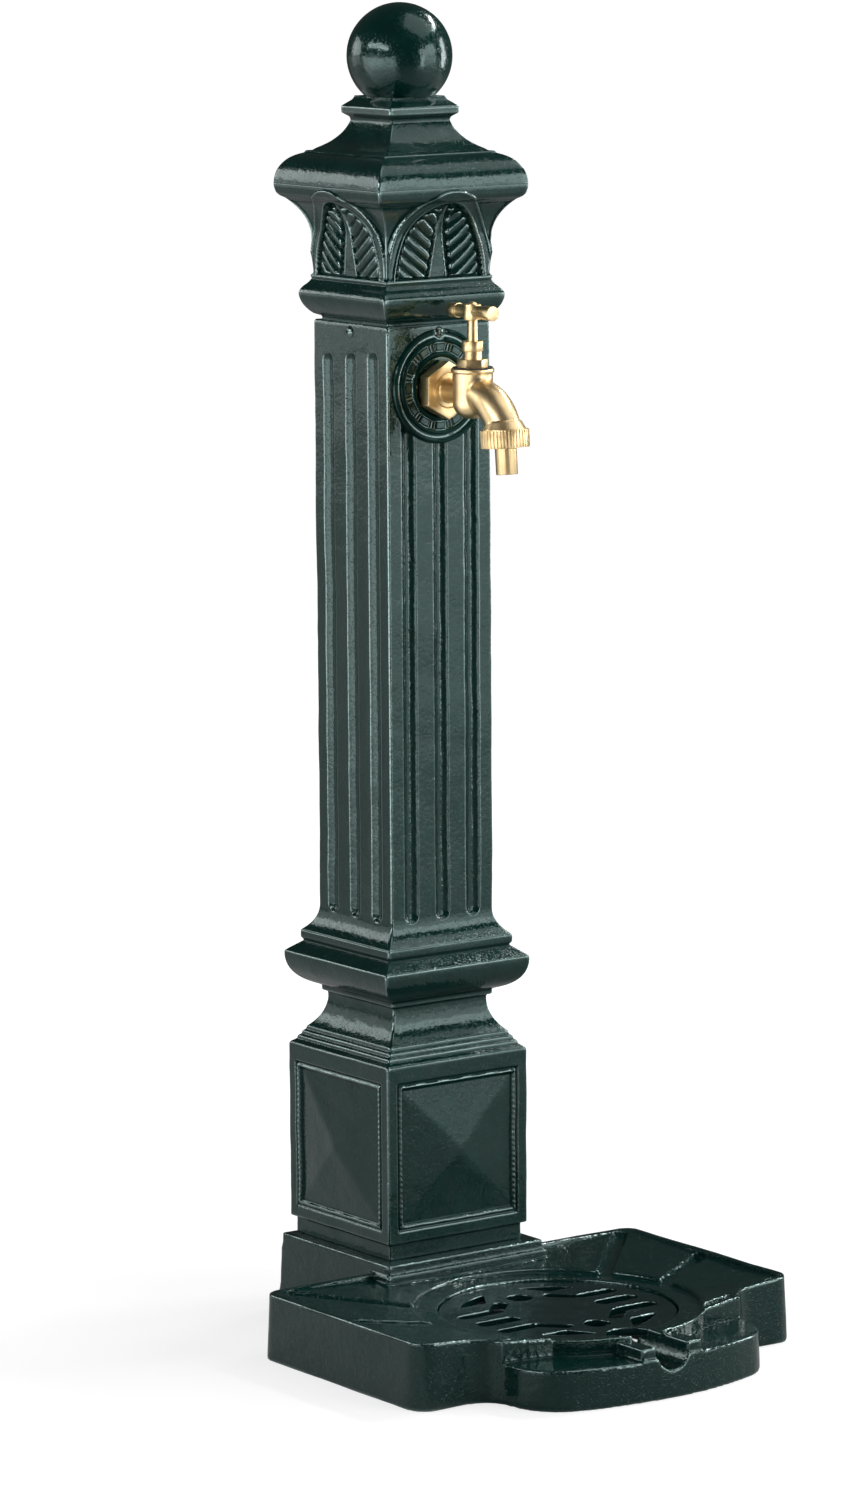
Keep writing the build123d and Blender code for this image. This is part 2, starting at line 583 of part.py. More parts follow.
def rosette():
    """Raised rings and blocks round the tap, on the front face."""
    face = -SHAFT_HALF
    back = face + SHAFT_WALL
    disc = bar(ROSETTE_RADIUS, face, back, ROSETTE_Z)
    ring = bar(ROSETTE_RADIUS, face - ROSETTE_RAISE, back, ROSETTE_Z)
    ring -= bar(ROSETTE_RADIUS - ROSETTE_EDGE, face - OVERRUN, back + OVERRUN, ROSETTE_Z)
    second = bar(ROSETTE_SECOND_RADIUS, face - ROSETTE_RAISE, back, ROSETTE_Z)
    second -= bar(ROSETTE_SECOND_RADIUS - ROSETTE_EDGE, face - OVERRUN, back + OVERRUN, ROSETTE_Z)
    inner = bar(ROSETTE_INNER_RADIUS + ROSETTE_EDGE, face - ROSETTE_RAISE, back, ROSETTE_Z)
    inner -= bar(ROSETTE_INNER_RADIUS, face - OVERRUN, back + OVERRUN, ROSETTE_Z)
    blocks = bar(ROSETTE_SECOND_RADIUS - ROSETTE_EDGE, face - ROSETTE_BLOCK_RAISE, back, ROSETTE_Z)
    blocks -= bar(ROSETTE_INNER_RADIUS + ROSETTE_EDGE, face - OVERRUN, back + OVERRUN, ROSETTE_Z)
    gap = block(-ROSETTE_BLOCK_GAP / 2, ROSETTE_BLOCK_GAP / 2, face - OVERRUN, face, 0, ROSETTE_RADIUS)
    for turn in range(ROSETTE_BLOCKS):
        blocks -= Pos(0, 0, ROSETTE_Z) * Rot(0, 360 / ROSETTE_BLOCKS * (turn + 0.5), 0) * gap
    return disc + ring + second + inner + blocks


def column_casting():
    die_bottom = PLATFORM_TOP + FOOT_HEIGHT
    body = block(-FOOT_HALF, FOOT_HALF, -FOOT_HALF, FOOT_HALF, PLATFORM_TOP, die_bottom)
    body += block(-DIE_HALF, DIE_HALF, -DIE_HALF, DIE_HALF, die_bottom, DIE_TOP)
    body += moulding(base_moulding_shares, SHAFT_HALF, DIE_TOP, SHAFT_FOOT - DIE_TOP)
    body += block(-SHAFT_HALF, SHAFT_HALF, -SHAFT_HALF, SHAFT_HALF, SHAFT_FOOT, SHAFT_TOP)
    body = rounded_corners(body, DIE_HALF, die_bottom, DIE_TOP)
    body = rounded_corners(body, SHAFT_HALF, SHAFT_FOOT, SHAFT_TOP)

    pocket, stone = die_panel()
    for cut in around_column(pocket):
        body -= cut
    for fill in around_column(stone):
        body += fill

    for row in range(FLUTES):
        offset_x = (row - (FLUTES - 1) / 2) * FLUTE_SPACING
        for cut in around_column(Pos(offset_x, 0, 0) * flute()):
            body -= cut
    body += rosette()

    # The hollow inside, with a boss for each foot bolt.
    cavity = DIE_CAVITY_HALF
    shaft_cavity = SHAFT_HALF - SHAFT_WALL
    hollow = block(-cavity, cavity, -cavity, cavity, PLATFORM_TOP, DIE_CAVITY_TOP)
    for x, y in bolt_places():
        reach = BOLT_BOSS_HALF
        hollow -= block(
            min(x - reach, x * cavity / abs(x)), max(x + reach, x * cavity / abs(x)),
            min(y - reach, y * cavity / abs(y)), max(y + reach, y * cavity / abs(y)),
            PLATFORM_TOP, PLATFORM_TOP + BOLT_BOSS_HEIGHT)
    hollow += block(-shaft_cavity, shaft_cavity, -shaft_cavity, shaft_cavity, DIE_CAVITY_TOP, SHAFT_TOP)
    body -= hollow
    for x, y in bolt_places():
        body -= post(BOLT_RADIUS + FIT, PLATFORM_TOP, PLATFORM_TOP + BOLT_BOSS_HEIGHT, x, y)

    # Holes for the tap's thread, the head's screws and the supply socket.
    body -= bar(THREAD_RADIUS + LOOSE, -SHAFT_HALF - OVERRUN, -shaft_cavity + OVERRUN, TAP_Z)
    screw_hole = bar(HEAD_SCREW_RADIUS + FIT, -SHAFT_HALF - OVERRUN, -shaft_cavity, HEAD_SCREW_Z)
    for cut in around_column(screw_hole):
        body -= cut
    # The rosette's rings end at the screw above them.
    body -= bar(HEAD_SCREW_HEAD_RADIUS + LOOSE, -SHAFT_HALF - OVERRUN, -SHAFT_HALF, HEAD_SCREW_Z)
    body -= bar(INLET_LAND_RADIUS, INLET_LAND, DIE_HALF + OVERRUN, INLET_Z)
    body -= bar(INLET_BARREL_RADIUS + FIT, cavity - OVERRUN, DIE_HALF, INLET_Z)
    return body


def head_casting():
    shaft_cavity = SHAFT_HALF - SHAFT_WALL
    body = moulding(head_moulding_shares, SHAFT_HALF, SHAFT_TOP, NECK_RISE)
    body += Pos(0, 0, HEIGHT - BALL_RADIUS) * Sphere(BALL_RADIUS)
    outer = shaft_cavity - LOOSE
    inner = outer - SPIGOT_WALL
    bottom = SHAFT_TOP - SPIGOT_LENGTH
    body += block(-outer, outer, -outer, outer, bottom, SHAFT_TOP)
    body -= block(-inner, inner, -inner, inner, bottom, SHAFT_TOP + HEAD_CAVITY_RISE)
    screw_hole = bar(HEAD_SCREW_RADIUS + FIT, -outer - OVERRUN, -inner + OVERRUN, HEAD_SCREW_Z)
    for cut in around_column(screw_hole):
        body -= cut
    return body


def head_screws():
    """Pan-head screws with a cross recess, one in each face."""
    face = -SHAFT_HALF
    shank = bar(HEAD_SCREW_RADIUS, face, face + HEAD_SCREW_LENGTH, HEAD_SCREW_Z)
    crown = HEAD_SCREW_HEAD_HEIGHT
    sphere = (HEAD_SCREW_HEAD_RADIUS ** 2 + crown ** 2) / (2 * crown)
    head = Pos(0, face - crown + sphere, HEAD_SCREW_Z) * Sphere(sphere)
    head &= bar(HEAD_SCREW_HEAD_RADIUS, face - crown, face, HEAD_SCREW_Z)
    screw = shank + head
    half = HEAD_SCREW_CROSS_WIDTH / 2
    arm = HEAD_SCREW_CROSS / 2
    deep = face - crown + HEAD_SCREW_CROSS_DEPTH
    screw -= block(-arm, arm, face - crown - OVERRUN, deep, HEAD_SCREW_Z - half, HEAD_SCREW_Z + half)
    screw -= block(-half, half, face - crown - OVERRUN, deep, HEAD_SCREW_Z - arm, HEAD_SCREW_Z + arm)
    return Compound(around_column(screw))


def column_bolts():
    seat = PLATFORM_TOP - PLATFORM_PLATE - WASHER_THICK
    bolt = post(BOLT_RADIUS, seat, seat + BOLT_LENGTH)
    bolt += Pos(0, 0, seat - BOLT_HEAD_HEIGHT) * hexagon(BOLT_HEAD_FLATS, BOLT_HEAD_HEIGHT)
    return Compound([Pos(x, y, 0) * bolt for x, y in bolt_places()])


def column_washers():
    top = PLATFORM_TOP - PLATFORM_PLATE
    washer = post(WASHER_RADIUS, top - WASHER_THICK, top) - post(BOLT_RADIUS + FIT, top - WASHER_THICK, top)
    return Compound([Pos(x, y, 0) * washer for x, y in bolt_places()])


def elbow(arm_end, up):
    """Female elbow about the origin: one arm along Y to arm_end, one up or down."""
    side = 1 if arm_end > 0 else -1
    tall = SOCKET_REACH * up
    body = bar(FITTING_RADIUS, min(0, arm_end), max(0, arm_end), 0)
    body += post(FITTING_RADIUS, min(0, tall), max(0, tall))
    body += Sphere(FITTING_RADIUS)
    socket = THREAD_RADIUS + FIT
    arm_start = arm_end - side * SOCKET_DEPTH
    tall_start = tall - up * SOCKET_DEPTH
    body -= bar(socket, min(arm_start, arm_end), max(arm_start, arm_end), 0)
    body -= post(socket, min(tall_start, tall), max(tall_start, tall))
    body -= bar(PIPE_BORE, min(0, arm_end), max(0, arm_end), 0)
    body -= post(PIPE_BORE, min(0, tall), max(0, tall))
    body -= Sphere(PIPE_BORE)
    return body


def tap_elbow():
    """Its mouth seats on the inside of the shaft's front wall."""
    return Pos(0, 0, TAP_Z) * elbow(-(SHAFT_HALF - SHAFT_WALL), -1)


def inlet_elbow():
    return Pos(0, 0, INLET_Z) * elbow(SOCKET_REACH, 1)


def riser_pipe():
    bottom = INLET_Z + SOCKET_REACH - SOCKET_DEPTH
    top = TAP_Z - SOCKET_REACH + SOCKET_DEPTH
    return post(THREAD_RADIUS, bottom, top) - post(PIPE_BORE, bottom, top)


def inlet_connector():
    """Female socket in the back of the die; its tail screws into the elbow."""
    outer_face = INLET_LAND + GASKET_THICK + INLET_FLANGE_THICK
    inner_end = SOCKET_REACH
    body = bar(INLET_FLANGE_RADIUS, INLET_LAND + GASKET_THICK, outer_face, INLET_Z)
    body += bar(INLET_BARREL_RADIUS, inner_end, outer_face, INLET_Z)
    body += bar(THREAD_RADIUS, inner_end - SOCKET_DEPTH, inner_end, INLET_Z)
    body -= bar(INLET_THREAD_RADIUS, outer_face - INLET_THREAD_LENGTH, outer_face, INLET_Z)
    body -= bar(PIPE_BORE, inner_end - SOCKET_DEPTH, outer_face, INLET_Z)
    return body


def inlet_gasket():
    body = bar(GASKET_RADIUS, INLET_LAND, INLET_LAND + GASKET_THICK, INLET_Z)
    return body - bar(INLET_BARREL_RADIUS + FIT, INLET_LAND, INLET_LAND + GASKET_THICK, INLET_Z)


def inlet_locknut():
    """Clamps the socket from inside the die."""
    nut = hexagon(INLET_NUT_FLATS, INLET_NUT_THICK) - post(INLET_BARREL_RADIUS + FIT, 0, INLET_NUT_THICK)
    return Pos(0, DIE_CAVITY_HALF, INLET_Z) * Rot(90, 0, 0) * nut


def tap_nut_back():
    """Where the wall nut's rear face lies."""
    return -SHAFT_HALF - TAP_GASKET_THICK


def tap_gasket():
    back = -SHAFT_HALF
    body = bar(TAP_GASKET_RADIUS, back - TAP_GASKET_THICK, back, TAP_Z)
    return body - bar(THREAD_RADIUS + FIT, back - TAP_GASKET_THICK, back, TAP_Z)


def tap_locknut():
    nut = hexagon(TAP_NUT_FLATS, TAP_NUT_THICK) - post(THREAD_RADIUS + FIT, 0, TAP_NUT_THICK)
    return Pos(0, tap_nut_back(), TAP_Z) * Rot(90, 0, 0) * Rot(0, 0, 90) * nut


def spout(extra):
    """The bent spout, each of its three sections shrunk by the same extra."""
    root = (0, -TAP_REACH - SPOUT_ROOT_OFFSET, TAP_Z)
    knee = (0, -TAP_REACH - SPOUT_KNEE_OFFSET, TAP_Z - SPOUT_KNEE_DROP)
    end = (0, -OUTLET_REACH, OUTLET_Z)
    down = radians(OUTLET_TILT)
    sections = [
        Plane(origin=root, x_dir=(1, 0, 0), z_dir=(0, -1, 0)) * Circle(SPOUT_NECK_RADIUS - extra),
        Plane(origin=knee, x_dir=(1, 0, 0), z_dir=(0, -1, -1)) * Circle(SPOUT_MID_RADIUS - extra),
        Plane(origin=end, x_dir=(1, 0, 0), z_dir=(0, -sin(down), -cos(down))) * Circle(
            SPOUT_END_RADIUS - extra),
    ]
    return loft(sections)


def outlet(solid):
    """Places a body drawn downwards from the outlet's face on the outlet's axis."""
    return Pos(0, -OUTLET_REACH, OUTLET_Z) * Rot(-OUTLET_TILT, 0, 0) * solid


def tap_body():
    barrel_y = -TAP_REACH
    nut_front = tap_nut_back() - TAP_NUT_THICK
    tail = -(SHAFT_HALF - SHAFT_WALL) + SOCKET_DEPTH
    barrel = post(BARREL_RADIUS, BARREL_BOTTOM, BARREL_TOP, 0, barrel_y)
    barrel = fillet(barrel.edges().sort_by(Axis.Z)[0], BARREL_ROUND)
    body = barrel + post(
        BARREL_RADIUS + BARREL_BEAD, BARREL_TOP - BARREL_BEAD_HEIGHT, BARREL_TOP, 0, barrel_y)
    body += bar(SHANK_RADIUS, barrel_y, nut_front, TAP_Z)
    body += bar(THREAD_RADIUS, nut_front, tail, TAP_Z)
    body += spout(0)
    body += outlet(post(OUTLET_RADIUS, -OUTLET_THREAD, 0))
    flare = Cone(OUTLET_RADIUS, SPOUT_END_RADIUS, OUTLET_FLARE, align=(Align.CENTER, Align.CENTER, Align.MIN))
    body += outlet(flare)

    # Waterway: in along the shank, under the seat, up through it and out.
    body -= post(BARREL_BORE, SEAT_FLOOR, BARREL_TOP, 0, barrel_y)
    water = bar(SHANK_BORE, barrel_y + BARREL_RADIUS + SLANT_RADIUS, tail, TAP_Z)
    chamber = (LOWER_CHAMBER_TOP + LOWER_CHAMBER_BOTTOM) / 2
    slant_start = barrel_y + BARREL_RADIUS + SLANT_RADIUS
    slant_end = barrel_y + LOWER_CHAMBER_RADIUS - SLANT_RADIUS
    fall = TAP_Z - chamber
    run = slant_start - slant_end
    slant = post(SLANT_RADIUS, 0, hypot(fall, run))
    aim = degrees(atan2(run, fall))
    water += Pos(0, slant_start, TAP_Z) * Rot(180 - aim, 0, 0) * slant
    water += post(LOWER_CHAMBER_RADIUS, LOWER_CHAMBER_BOTTOM, LOWER_CHAMBER_TOP, 0, barrel_y)
    water += post(SEAT_BORE, LOWER_CHAMBER_BOTTOM, SEAT_TOP, 0, barrel_y)
    way_out = spout(SPOUT_WALL) - post(BARREL_BORE, BARREL_BOTTOM, SEAT_FLOOR, 0, barrel_y)
    water += way_out
    water += outlet(post(OUTLET_BORE, -OUTLET_THREAD, OUTLET_THREAD))
    body -= water
    lip = post(SEAT_LIP_RADIUS, SEAT_FLOOR, SEAT_TOP, 0, barrel_y) - post(
        SEAT_BORE, SEAT_FLOOR, SEAT_TOP, 0, barrel_y)
    return body + lip


def union_nut():
    """Drawn downwards from the outlet's face; the lip carries the tail's flange."""
    body = post(UNION_RADIUS, -UNION_LENGTH, 0)
    ridge = post(UNION_KNURL_DEPTH, -UNION_LENGTH, 0, UNION_RADIUS, 0)
    for turn in range(UNION_KNURLS):
        body -= Rot(0, 0, 360 / UNION_KNURLS * turn) * ridge
    body -= post(OUTLET_RADIUS + RUNNING_FIT, -UNION_THREAD_LENGTH, 0)
    body -= post(UNION_LIP_RADIUS, -UNION_LENGTH, 0)
    return outlet(body)


def union_washer():
    top = -OUTLET_THREAD
    body = post(TAIL_FLANGE_RADIUS, top - UNION_WASHER_THICK, top)
    return outlet(body - post(TAIL_BORE, top - UNION_WASHER_THICK, top))


def hose_tail():
    top = -OUTLET_THREAD - UNION_WASHER_THICK
    body = post(TAIL_FLANGE_RADIUS, -UNION_THREAD_LENGTH + RUNNING_FIT, top)
    body += post(TAIL_NECK_RADIUS, -UNION_LENGTH - TAIL_NECK_REST, top)
    body += post(TAIL_RADIUS, -TAIL_LENGTH, top)
    return outlet(body - post(TAIL_BORE, -TAIL_LENGTH, top))


def bonnet_levels():
    """Heights of the headpiece's hexagon, neck and top."""
    hex_bottom = BARREL_TOP + BONNET_SEAL_THICK
    neck_bottom = hex_bottom + BONNET_HEX_HEIGHT
    return hex_bottom, neck_bottom, neck_bottom + BONNET_NECK_HEIGHT


def bonnet_seal():
    body = post(BARREL_RADIUS, BARREL_TOP, BARREL_TOP + BONNET_SEAL_THICK, 0, -TAP_REACH)
    return body - post(BONNET_SEAL_INNER, BARREL_TOP, BARREL_TOP + BONNET_SEAL_THICK, 0, -TAP_REACH)


def bonnet():
    hex_bottom, neck_bottom, top = bonnet_levels()
    y = -TAP_REACH
    body = post(BARREL_BORE - FIT, BARREL_TOP - BONNET_SPIGOT, hex_bottom, 0, y)
    body += Pos(0, y, hex_bottom) * Rot(0, 0, 30) * hexagon(BONNET_FLATS, BONNET_HEX_HEIGHT)
    body += post(BONNET_NECK_RADIUS, neck_bottom, top, 0, y)
    body -= post(BONNET_THREAD_BORE, BARREL_TOP - BONNET_SPIGOT, neck_bottom, 0, y)
    body -= post(SPINDLE_RADIUS + RUNNING_FIT, neck_bottom, top, 0, y)
    body -= post(PACKING_RADIUS + FIT, top - PACKING_HEIGHT, top, 0, y)
    return body


def gland_packing():
    top = bonnet_levels()[2]
    body = post(PACKING_RADIUS, top - PACKING_HEIGHT, top, 0, -TAP_REACH)
    return body - post(SPINDLE_RADIUS + RUNNING_FIT, top - PACKING_HEIGHT, top, 0, -TAP_REACH)


def gland_nut():
    top = bonnet_levels()[2]
    y = -TAP_REACH
    skirt_bottom = top + GLAND_TOP_WALL - GLAND_HEIGHT
    body = post(GLAND_RADIUS, skirt_bottom, top + GLAND_TOP_WALL, 0, y)
    body -= post(BONNET_NECK_RADIUS + FIT, skirt_bottom, top, 0, y)
    return body - post(SPINDLE_RADIUS + RUNNING_FIT, skirt_bottom, top + GLAND_TOP_WALL, 0, y)


def valve_levels():
    """Heights of the valve disc and of the spindle's lower end, tap shut."""
    disc_bottom = SEAT_TOP + VALVE_WASHER_THICK
    disc_top = disc_bottom + JUMPER_THICK
    return disc_bottom, disc_top


def spindle():
    y = -TAP_REACH
    bottom = valve_levels()[1]
    body = post(BONNET_THREAD_BORE - RUNNING_FIT, bottom, bottom + SPINDLE_THREAD_LENGTH, 0, y)
    body += post(SPINDLE_RADIUS, bottom, SPINDLE_TOP, 0, y)
    body -= post(JUMPER_STEM_RADIUS + RUNNING_FIT, bottom, bottom + SPINDLE_SOCKET_DEPTH, 0, y)
    return body - post(HANDLE_SCREW_RADIUS + FIT, hub_top() - HANDLE_SCREW_LENGTH, SPINDLE_TOP, 0, y)


def jumper_valve():
    y = -TAP_REACH
    disc_bottom, disc_top = valve_levels()
    body = post(JUMPER_RADIUS, disc_bottom, disc_top, 0, y)
    body += post(JUMPER_STEM_RADIUS, disc_top, disc_top + JUMPER_STEM_LENGTH, 0, y)
    return body + post(JUMPER_STUD_RADIUS, SEAT_TOP - JUMPER_NUT_THICK, disc_bottom, 0, y)


def valve_washer():
    body = post(VALVE_WASHER_RADIUS, SEAT_TOP, SEAT_TOP + VALVE_WASHER_THICK, 0, -TAP_REACH)
    return body - post(JUMPER_STUD_RADIUS + FIT, SEAT_TOP, SEAT_TOP + VALVE_WASHER_THICK, 0, -TAP_REACH)


def jumper_nut():
    nut = post(JUMPER_NUT_RADIUS, SEAT_TOP - JUMPER_NUT_THICK, SEAT_TOP, 0, -TAP_REACH)
    return nut - post(JUMPER_STUD_RADIUS + FIT, SEAT_TOP - JUMPER_NUT_THICK, SEAT_TOP, 0, -TAP_REACH)


def hub_top():
    return HANDLE_Z + HUB_ABOVE


def tee_handle():
    """Cross bar along Y with stouter ends, on a round hub."""
    y = -TAP_REACH
    body = bar(HANDLE_RADIUS, y - HANDLE_HALF, y + HANDLE_HALF, HANDLE_Z)
    for side in (-1, 1):
        tip = y + side * HANDLE_HALF
        inner = tip - side * HANDLE_END_LENGTH
        body += bar(HANDLE_END_RADIUS, min(tip, inner), max(tip, inner), HANDLE_Z)
    body += post(HUB_RADIUS, HANDLE_Z - HUB_BELOW, hub_top(), 0, y)
    body -= post(SPINDLE_RADIUS + FIT, HANDLE_Z - HUB_BELOW, SPINDLE_TOP, 0, y)
    return body - post(HANDLE_SCREW_RADIUS + FIT, SPINDLE_TOP, hub_top(), 0, y)


def handle_screw():
    y = -TAP_REACH
    body = post(HANDLE_SCREW_RADIUS, hub_top() - HANDLE_SCREW_LENGTH, hub_top(), 0, y)
    crown = HANDLE_SCREW_HEAD_HEIGHT
    sphere = (HANDLE_SCREW_HEAD_RADIUS ** 2 + crown ** 2) / (2 * crown)
    head = Pos(0, y, hub_top() + crown - sphere) * Sphere(sphere)
    return body + (head & post(HANDLE_SCREW_HEAD_RADIUS, hub_top(), hub_top() + crown, 0, y))


pieces = {
    "base_basin": base_basin,
    "drain_grate": drain_grate,
    "column_casting": column_casting,
    "head_casting": head_casting,
    "head_screws": head_screws,
    "column_bolts": column_bolts,
    "column_washers": column_washers,
    "tap_elbow": tap_elbow,
    "riser_pipe": riser_pipe,
    "inlet_elbow": inlet_elbow,
    "inlet_connector": inlet_connector,
    "inlet_gasket": inlet_gasket,
    "inlet_locknut": inlet_locknut,
    "tap_gasket": tap_gasket,
    "tap_locknut": tap_locknut,
    "tap_body": tap_body,
    "bonnet_seal": bonnet_seal,
    "bonnet": bonnet,
    "gland_packing": gland_packing,
    "gland_nut": gland_nut,
    "spindle": spindle,
    "jumper_valve": jumper_valve,
    "valve_washer": valve_washer,
    "jumper_nut": jumper_nut,
    "tee_handle": tee_handle,
    "handle_screw": handle_screw,
    "union_nut": union_nut,
    "union_washer": union_washer,
    "hose_tail": hose_tail,
}

os.makedirs("parts", exist_ok=True)
to_footprint = Pos(0, BASE_DEPTH / 2 - BACK_REACH, 0)
for name, make in pieces.items():
    export_step(to_footprint * make(), f"parts/{name}.step")
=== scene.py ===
# %% [markdown]
# # A cast iron garden standpipe
# The standpipe is a square column of painted cast iron with a brass tap, and it
# stands on a shallow basin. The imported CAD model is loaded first. It is the
# frame: every piece made below goes where the CAD says it goes.

# %% Load the frame
import json

import bpy
import numpy as np
from mathutils import Matrix, Vector


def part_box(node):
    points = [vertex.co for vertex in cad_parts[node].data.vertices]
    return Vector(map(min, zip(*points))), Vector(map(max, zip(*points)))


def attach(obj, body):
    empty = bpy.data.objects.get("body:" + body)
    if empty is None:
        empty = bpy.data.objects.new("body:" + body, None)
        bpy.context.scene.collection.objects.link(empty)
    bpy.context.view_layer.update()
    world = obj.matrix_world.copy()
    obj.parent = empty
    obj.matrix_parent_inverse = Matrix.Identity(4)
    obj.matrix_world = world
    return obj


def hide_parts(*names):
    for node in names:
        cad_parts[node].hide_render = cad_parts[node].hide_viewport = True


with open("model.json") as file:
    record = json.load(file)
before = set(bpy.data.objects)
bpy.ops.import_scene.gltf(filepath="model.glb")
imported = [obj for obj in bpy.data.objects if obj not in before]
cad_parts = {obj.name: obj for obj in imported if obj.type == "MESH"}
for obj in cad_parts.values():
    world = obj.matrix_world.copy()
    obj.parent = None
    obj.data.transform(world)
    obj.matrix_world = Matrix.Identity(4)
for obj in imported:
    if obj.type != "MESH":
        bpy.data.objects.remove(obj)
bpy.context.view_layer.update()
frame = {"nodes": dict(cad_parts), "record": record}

MM = 0.001
FOOT_LOW, FOOT_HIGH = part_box("column_casting")
AXIS_Y = (FOOT_LOW[1] + FOOT_HIGH[1]) / 2 / MM
print("column's axis stands", round(AXIS_Y, 2), "mm behind the footprint's centre")

# %% [markdown]
# ## Camera
# The camera was found by fitting the straight edges of the column and of the
# basin in the photograph. It stands nearly four metres away with a long lens,
# turned to the left of the object and a little above it.

# %% Camera
CAMERA_AT = (-2.1730, -2.9227, 0.9447)
CAMERA_AZIMUTH = np.radians(-35.88)
CAMERA_ELEVATION = np.radians(9.09)
CAMERA_ROLL = np.radians(-0.42)
CAMERA_LENS = 149.14


def camera_turn(azimuth, elevation, roll):
    """Right, up and back vectors from the three angles, as a rotation."""
    flat = np.cos(elevation)
    back = np.array([np.sin(azimuth) * flat, -np.cos(azimuth) * flat, np.sin(elevation)])
    level = np.array([np.cos(azimuth), np.sin(azimuth), 0.0])
    above = np.cross(back, level)
    right = np.cos(roll) * level + np.sin(roll) * above
    up = np.cos(roll) * above - np.sin(roll) * level
    return Matrix(np.array([right, up, back]).T.tolist()).to_quaternion()


camera = bpy.data.objects.new("camera", bpy.data.cameras.new("camera"))
bpy.context.scene.collection.objects.link(camera)
camera.location = CAMERA_AT
camera.rotation_mode = "QUATERNION"
camera.rotation_quaternion = camera_turn(CAMERA_AZIMUTH, CAMERA_ELEVATION, CAMERA_ROLL)
camera.data.lens = CAMERA_LENS
camera.data.clip_end = 100.0
bpy.context.scene.camera = camera
bpy.context.scene.view_settings.view_transform = "Standard"
print("camera at", tuple(round(value, 3) for value in camera.location))

# %% [markdown]
# ## Grids
# Most pieces are one surface: a grid of points worked out as whole arrays. Rows
# run up the piece and columns run round it anticlockwise seen from above, so
# that the faces point outwards. A tube that ends in the open is closed by a fan
# of triangles.

# %% From a grid of points to a mesh
def grid_faces(rows, columns):
    """Quads of a grid whose last column joins its first one."""
    start = np.arange(rows - 1)[:, None] * columns + np.arange(columns)[None, :]
    beside = np.arange(rows - 1)[:, None] * columns + (np.arange(columns)[None, :] + 1) % columns
    return np.stack([start, beside, beside + columns, start + columns], -1).reshape(-1, 4)


def make_object(name, points, faces):
    """Points in millimetres about the column's axis become an object in metres."""
    mesh = bpy.data.meshes.new(name)
    placed = (points + np.array([0.0, AXIS_Y, 0.0])) * MM
    mesh.from_pydata(placed.tolist(), [], faces)
    mesh.polygons.foreach_set("use_smooth", np.ones(len(mesh.polygons), bool))
    mesh.update()
    piece = bpy.data.objects.new(name, mesh)
    bpy.context.scene.collection.objects.link(piece)
    return piece


def tube_object(name, grid, close_low=True, close_high=True):
    """A grid (rows, columns, 3) closed round, with a fan over each open end."""
    rows, columns = grid.shape[:2]
    points = grid.reshape(-1, 3)
    faces = grid_faces(rows, columns).tolist()
    ring = np.arange(columns)
    after = (ring + 1) % columns
    if close_low:
        points = np.vstack([points, grid[0].mean(0)])
        middle = np.full(columns, len(points) - 1)
        faces += np.stack([after, ring, middle], -1).tolist()
    if close_high:
        points = np.vstack([points, grid[-1].mean(0)])
        middle = np.full(columns, len(points) - 1)
        last = (rows - 1) * columns
        faces += np.stack([last + ring, last + after, middle], -1).tolist()
    return make_object(name, points, faces)


print("3 rows of 8 points close to", len(grid_faces(3, 8)), "quads")

# %% [markdown]
# ## The skin of a sand casting
# A casting is never quite flat. Its faces wander by a tenth or two of a
# millimetre, which bends every reflection in the gloss paint. The wander is in
# the mesh, as a sum of waves in random directions. The finer grain of the sand
# comes later, from the paint's bump.

# %% Wander of a cast face
WAVES = 20
WAVE_SPREAD = (0.6, 1.5)
LONG_WAVE, LONG_RISE = 46.0, 0.17
SHORT_WAVE, SHORT_RISE = 13.0, 0.06


def wander(points, wavelength, seed):
    """Sum of cosines of points along random directions, scaled to about one."""
    random = np.random.default_rng(seed)
    ways = random.normal(size=(WAVES, 3))
    ways /= np.linalg.norm(ways, axis=1, keepdims=True)
    ways *= (2 * np.pi / (wavelength * random.uniform(*WAVE_SPREAD, WAVES)))[:, None]
    phases = random.uniform(0, 2 * np.pi, WAVES)
    return np.cos(points @ ways.T + phases).sum(-1) / np.sqrt(WAVES)


def cast_wander(points, seed):
    """Long soft waves and shorter ones, in millimetres."""
    long_waves = LONG_RISE * wander(points, LONG_WAVE, seed)
    return long_waves + SHORT_RISE * wander(points, SHORT_WAVE, seed + 1)


def grid_wander(grid, seed):
    """The wander at each point of a grid."""
    return cast_wander(grid.reshape(-1, 3), seed).reshape(grid.shape[:2])


tall_edge = np.linspace(0, 300, 400)[:, None] * np.array([0.0, 0.0, 1.0])
print("wander up 300 mm of edge, in mm:", round(float(np.ptp(cast_wander(tall_edge, 12))), 2))

# %% [markdown]
# ## Square mouldings
# A moulding is drawn once, as half-widths at heights, with some stretches bowed.
# It is sampled evenly and blurred a little, because a cast edge is never sharp.
# Then it is carried round a square with rounded corners, and each face may add
# its own relief.

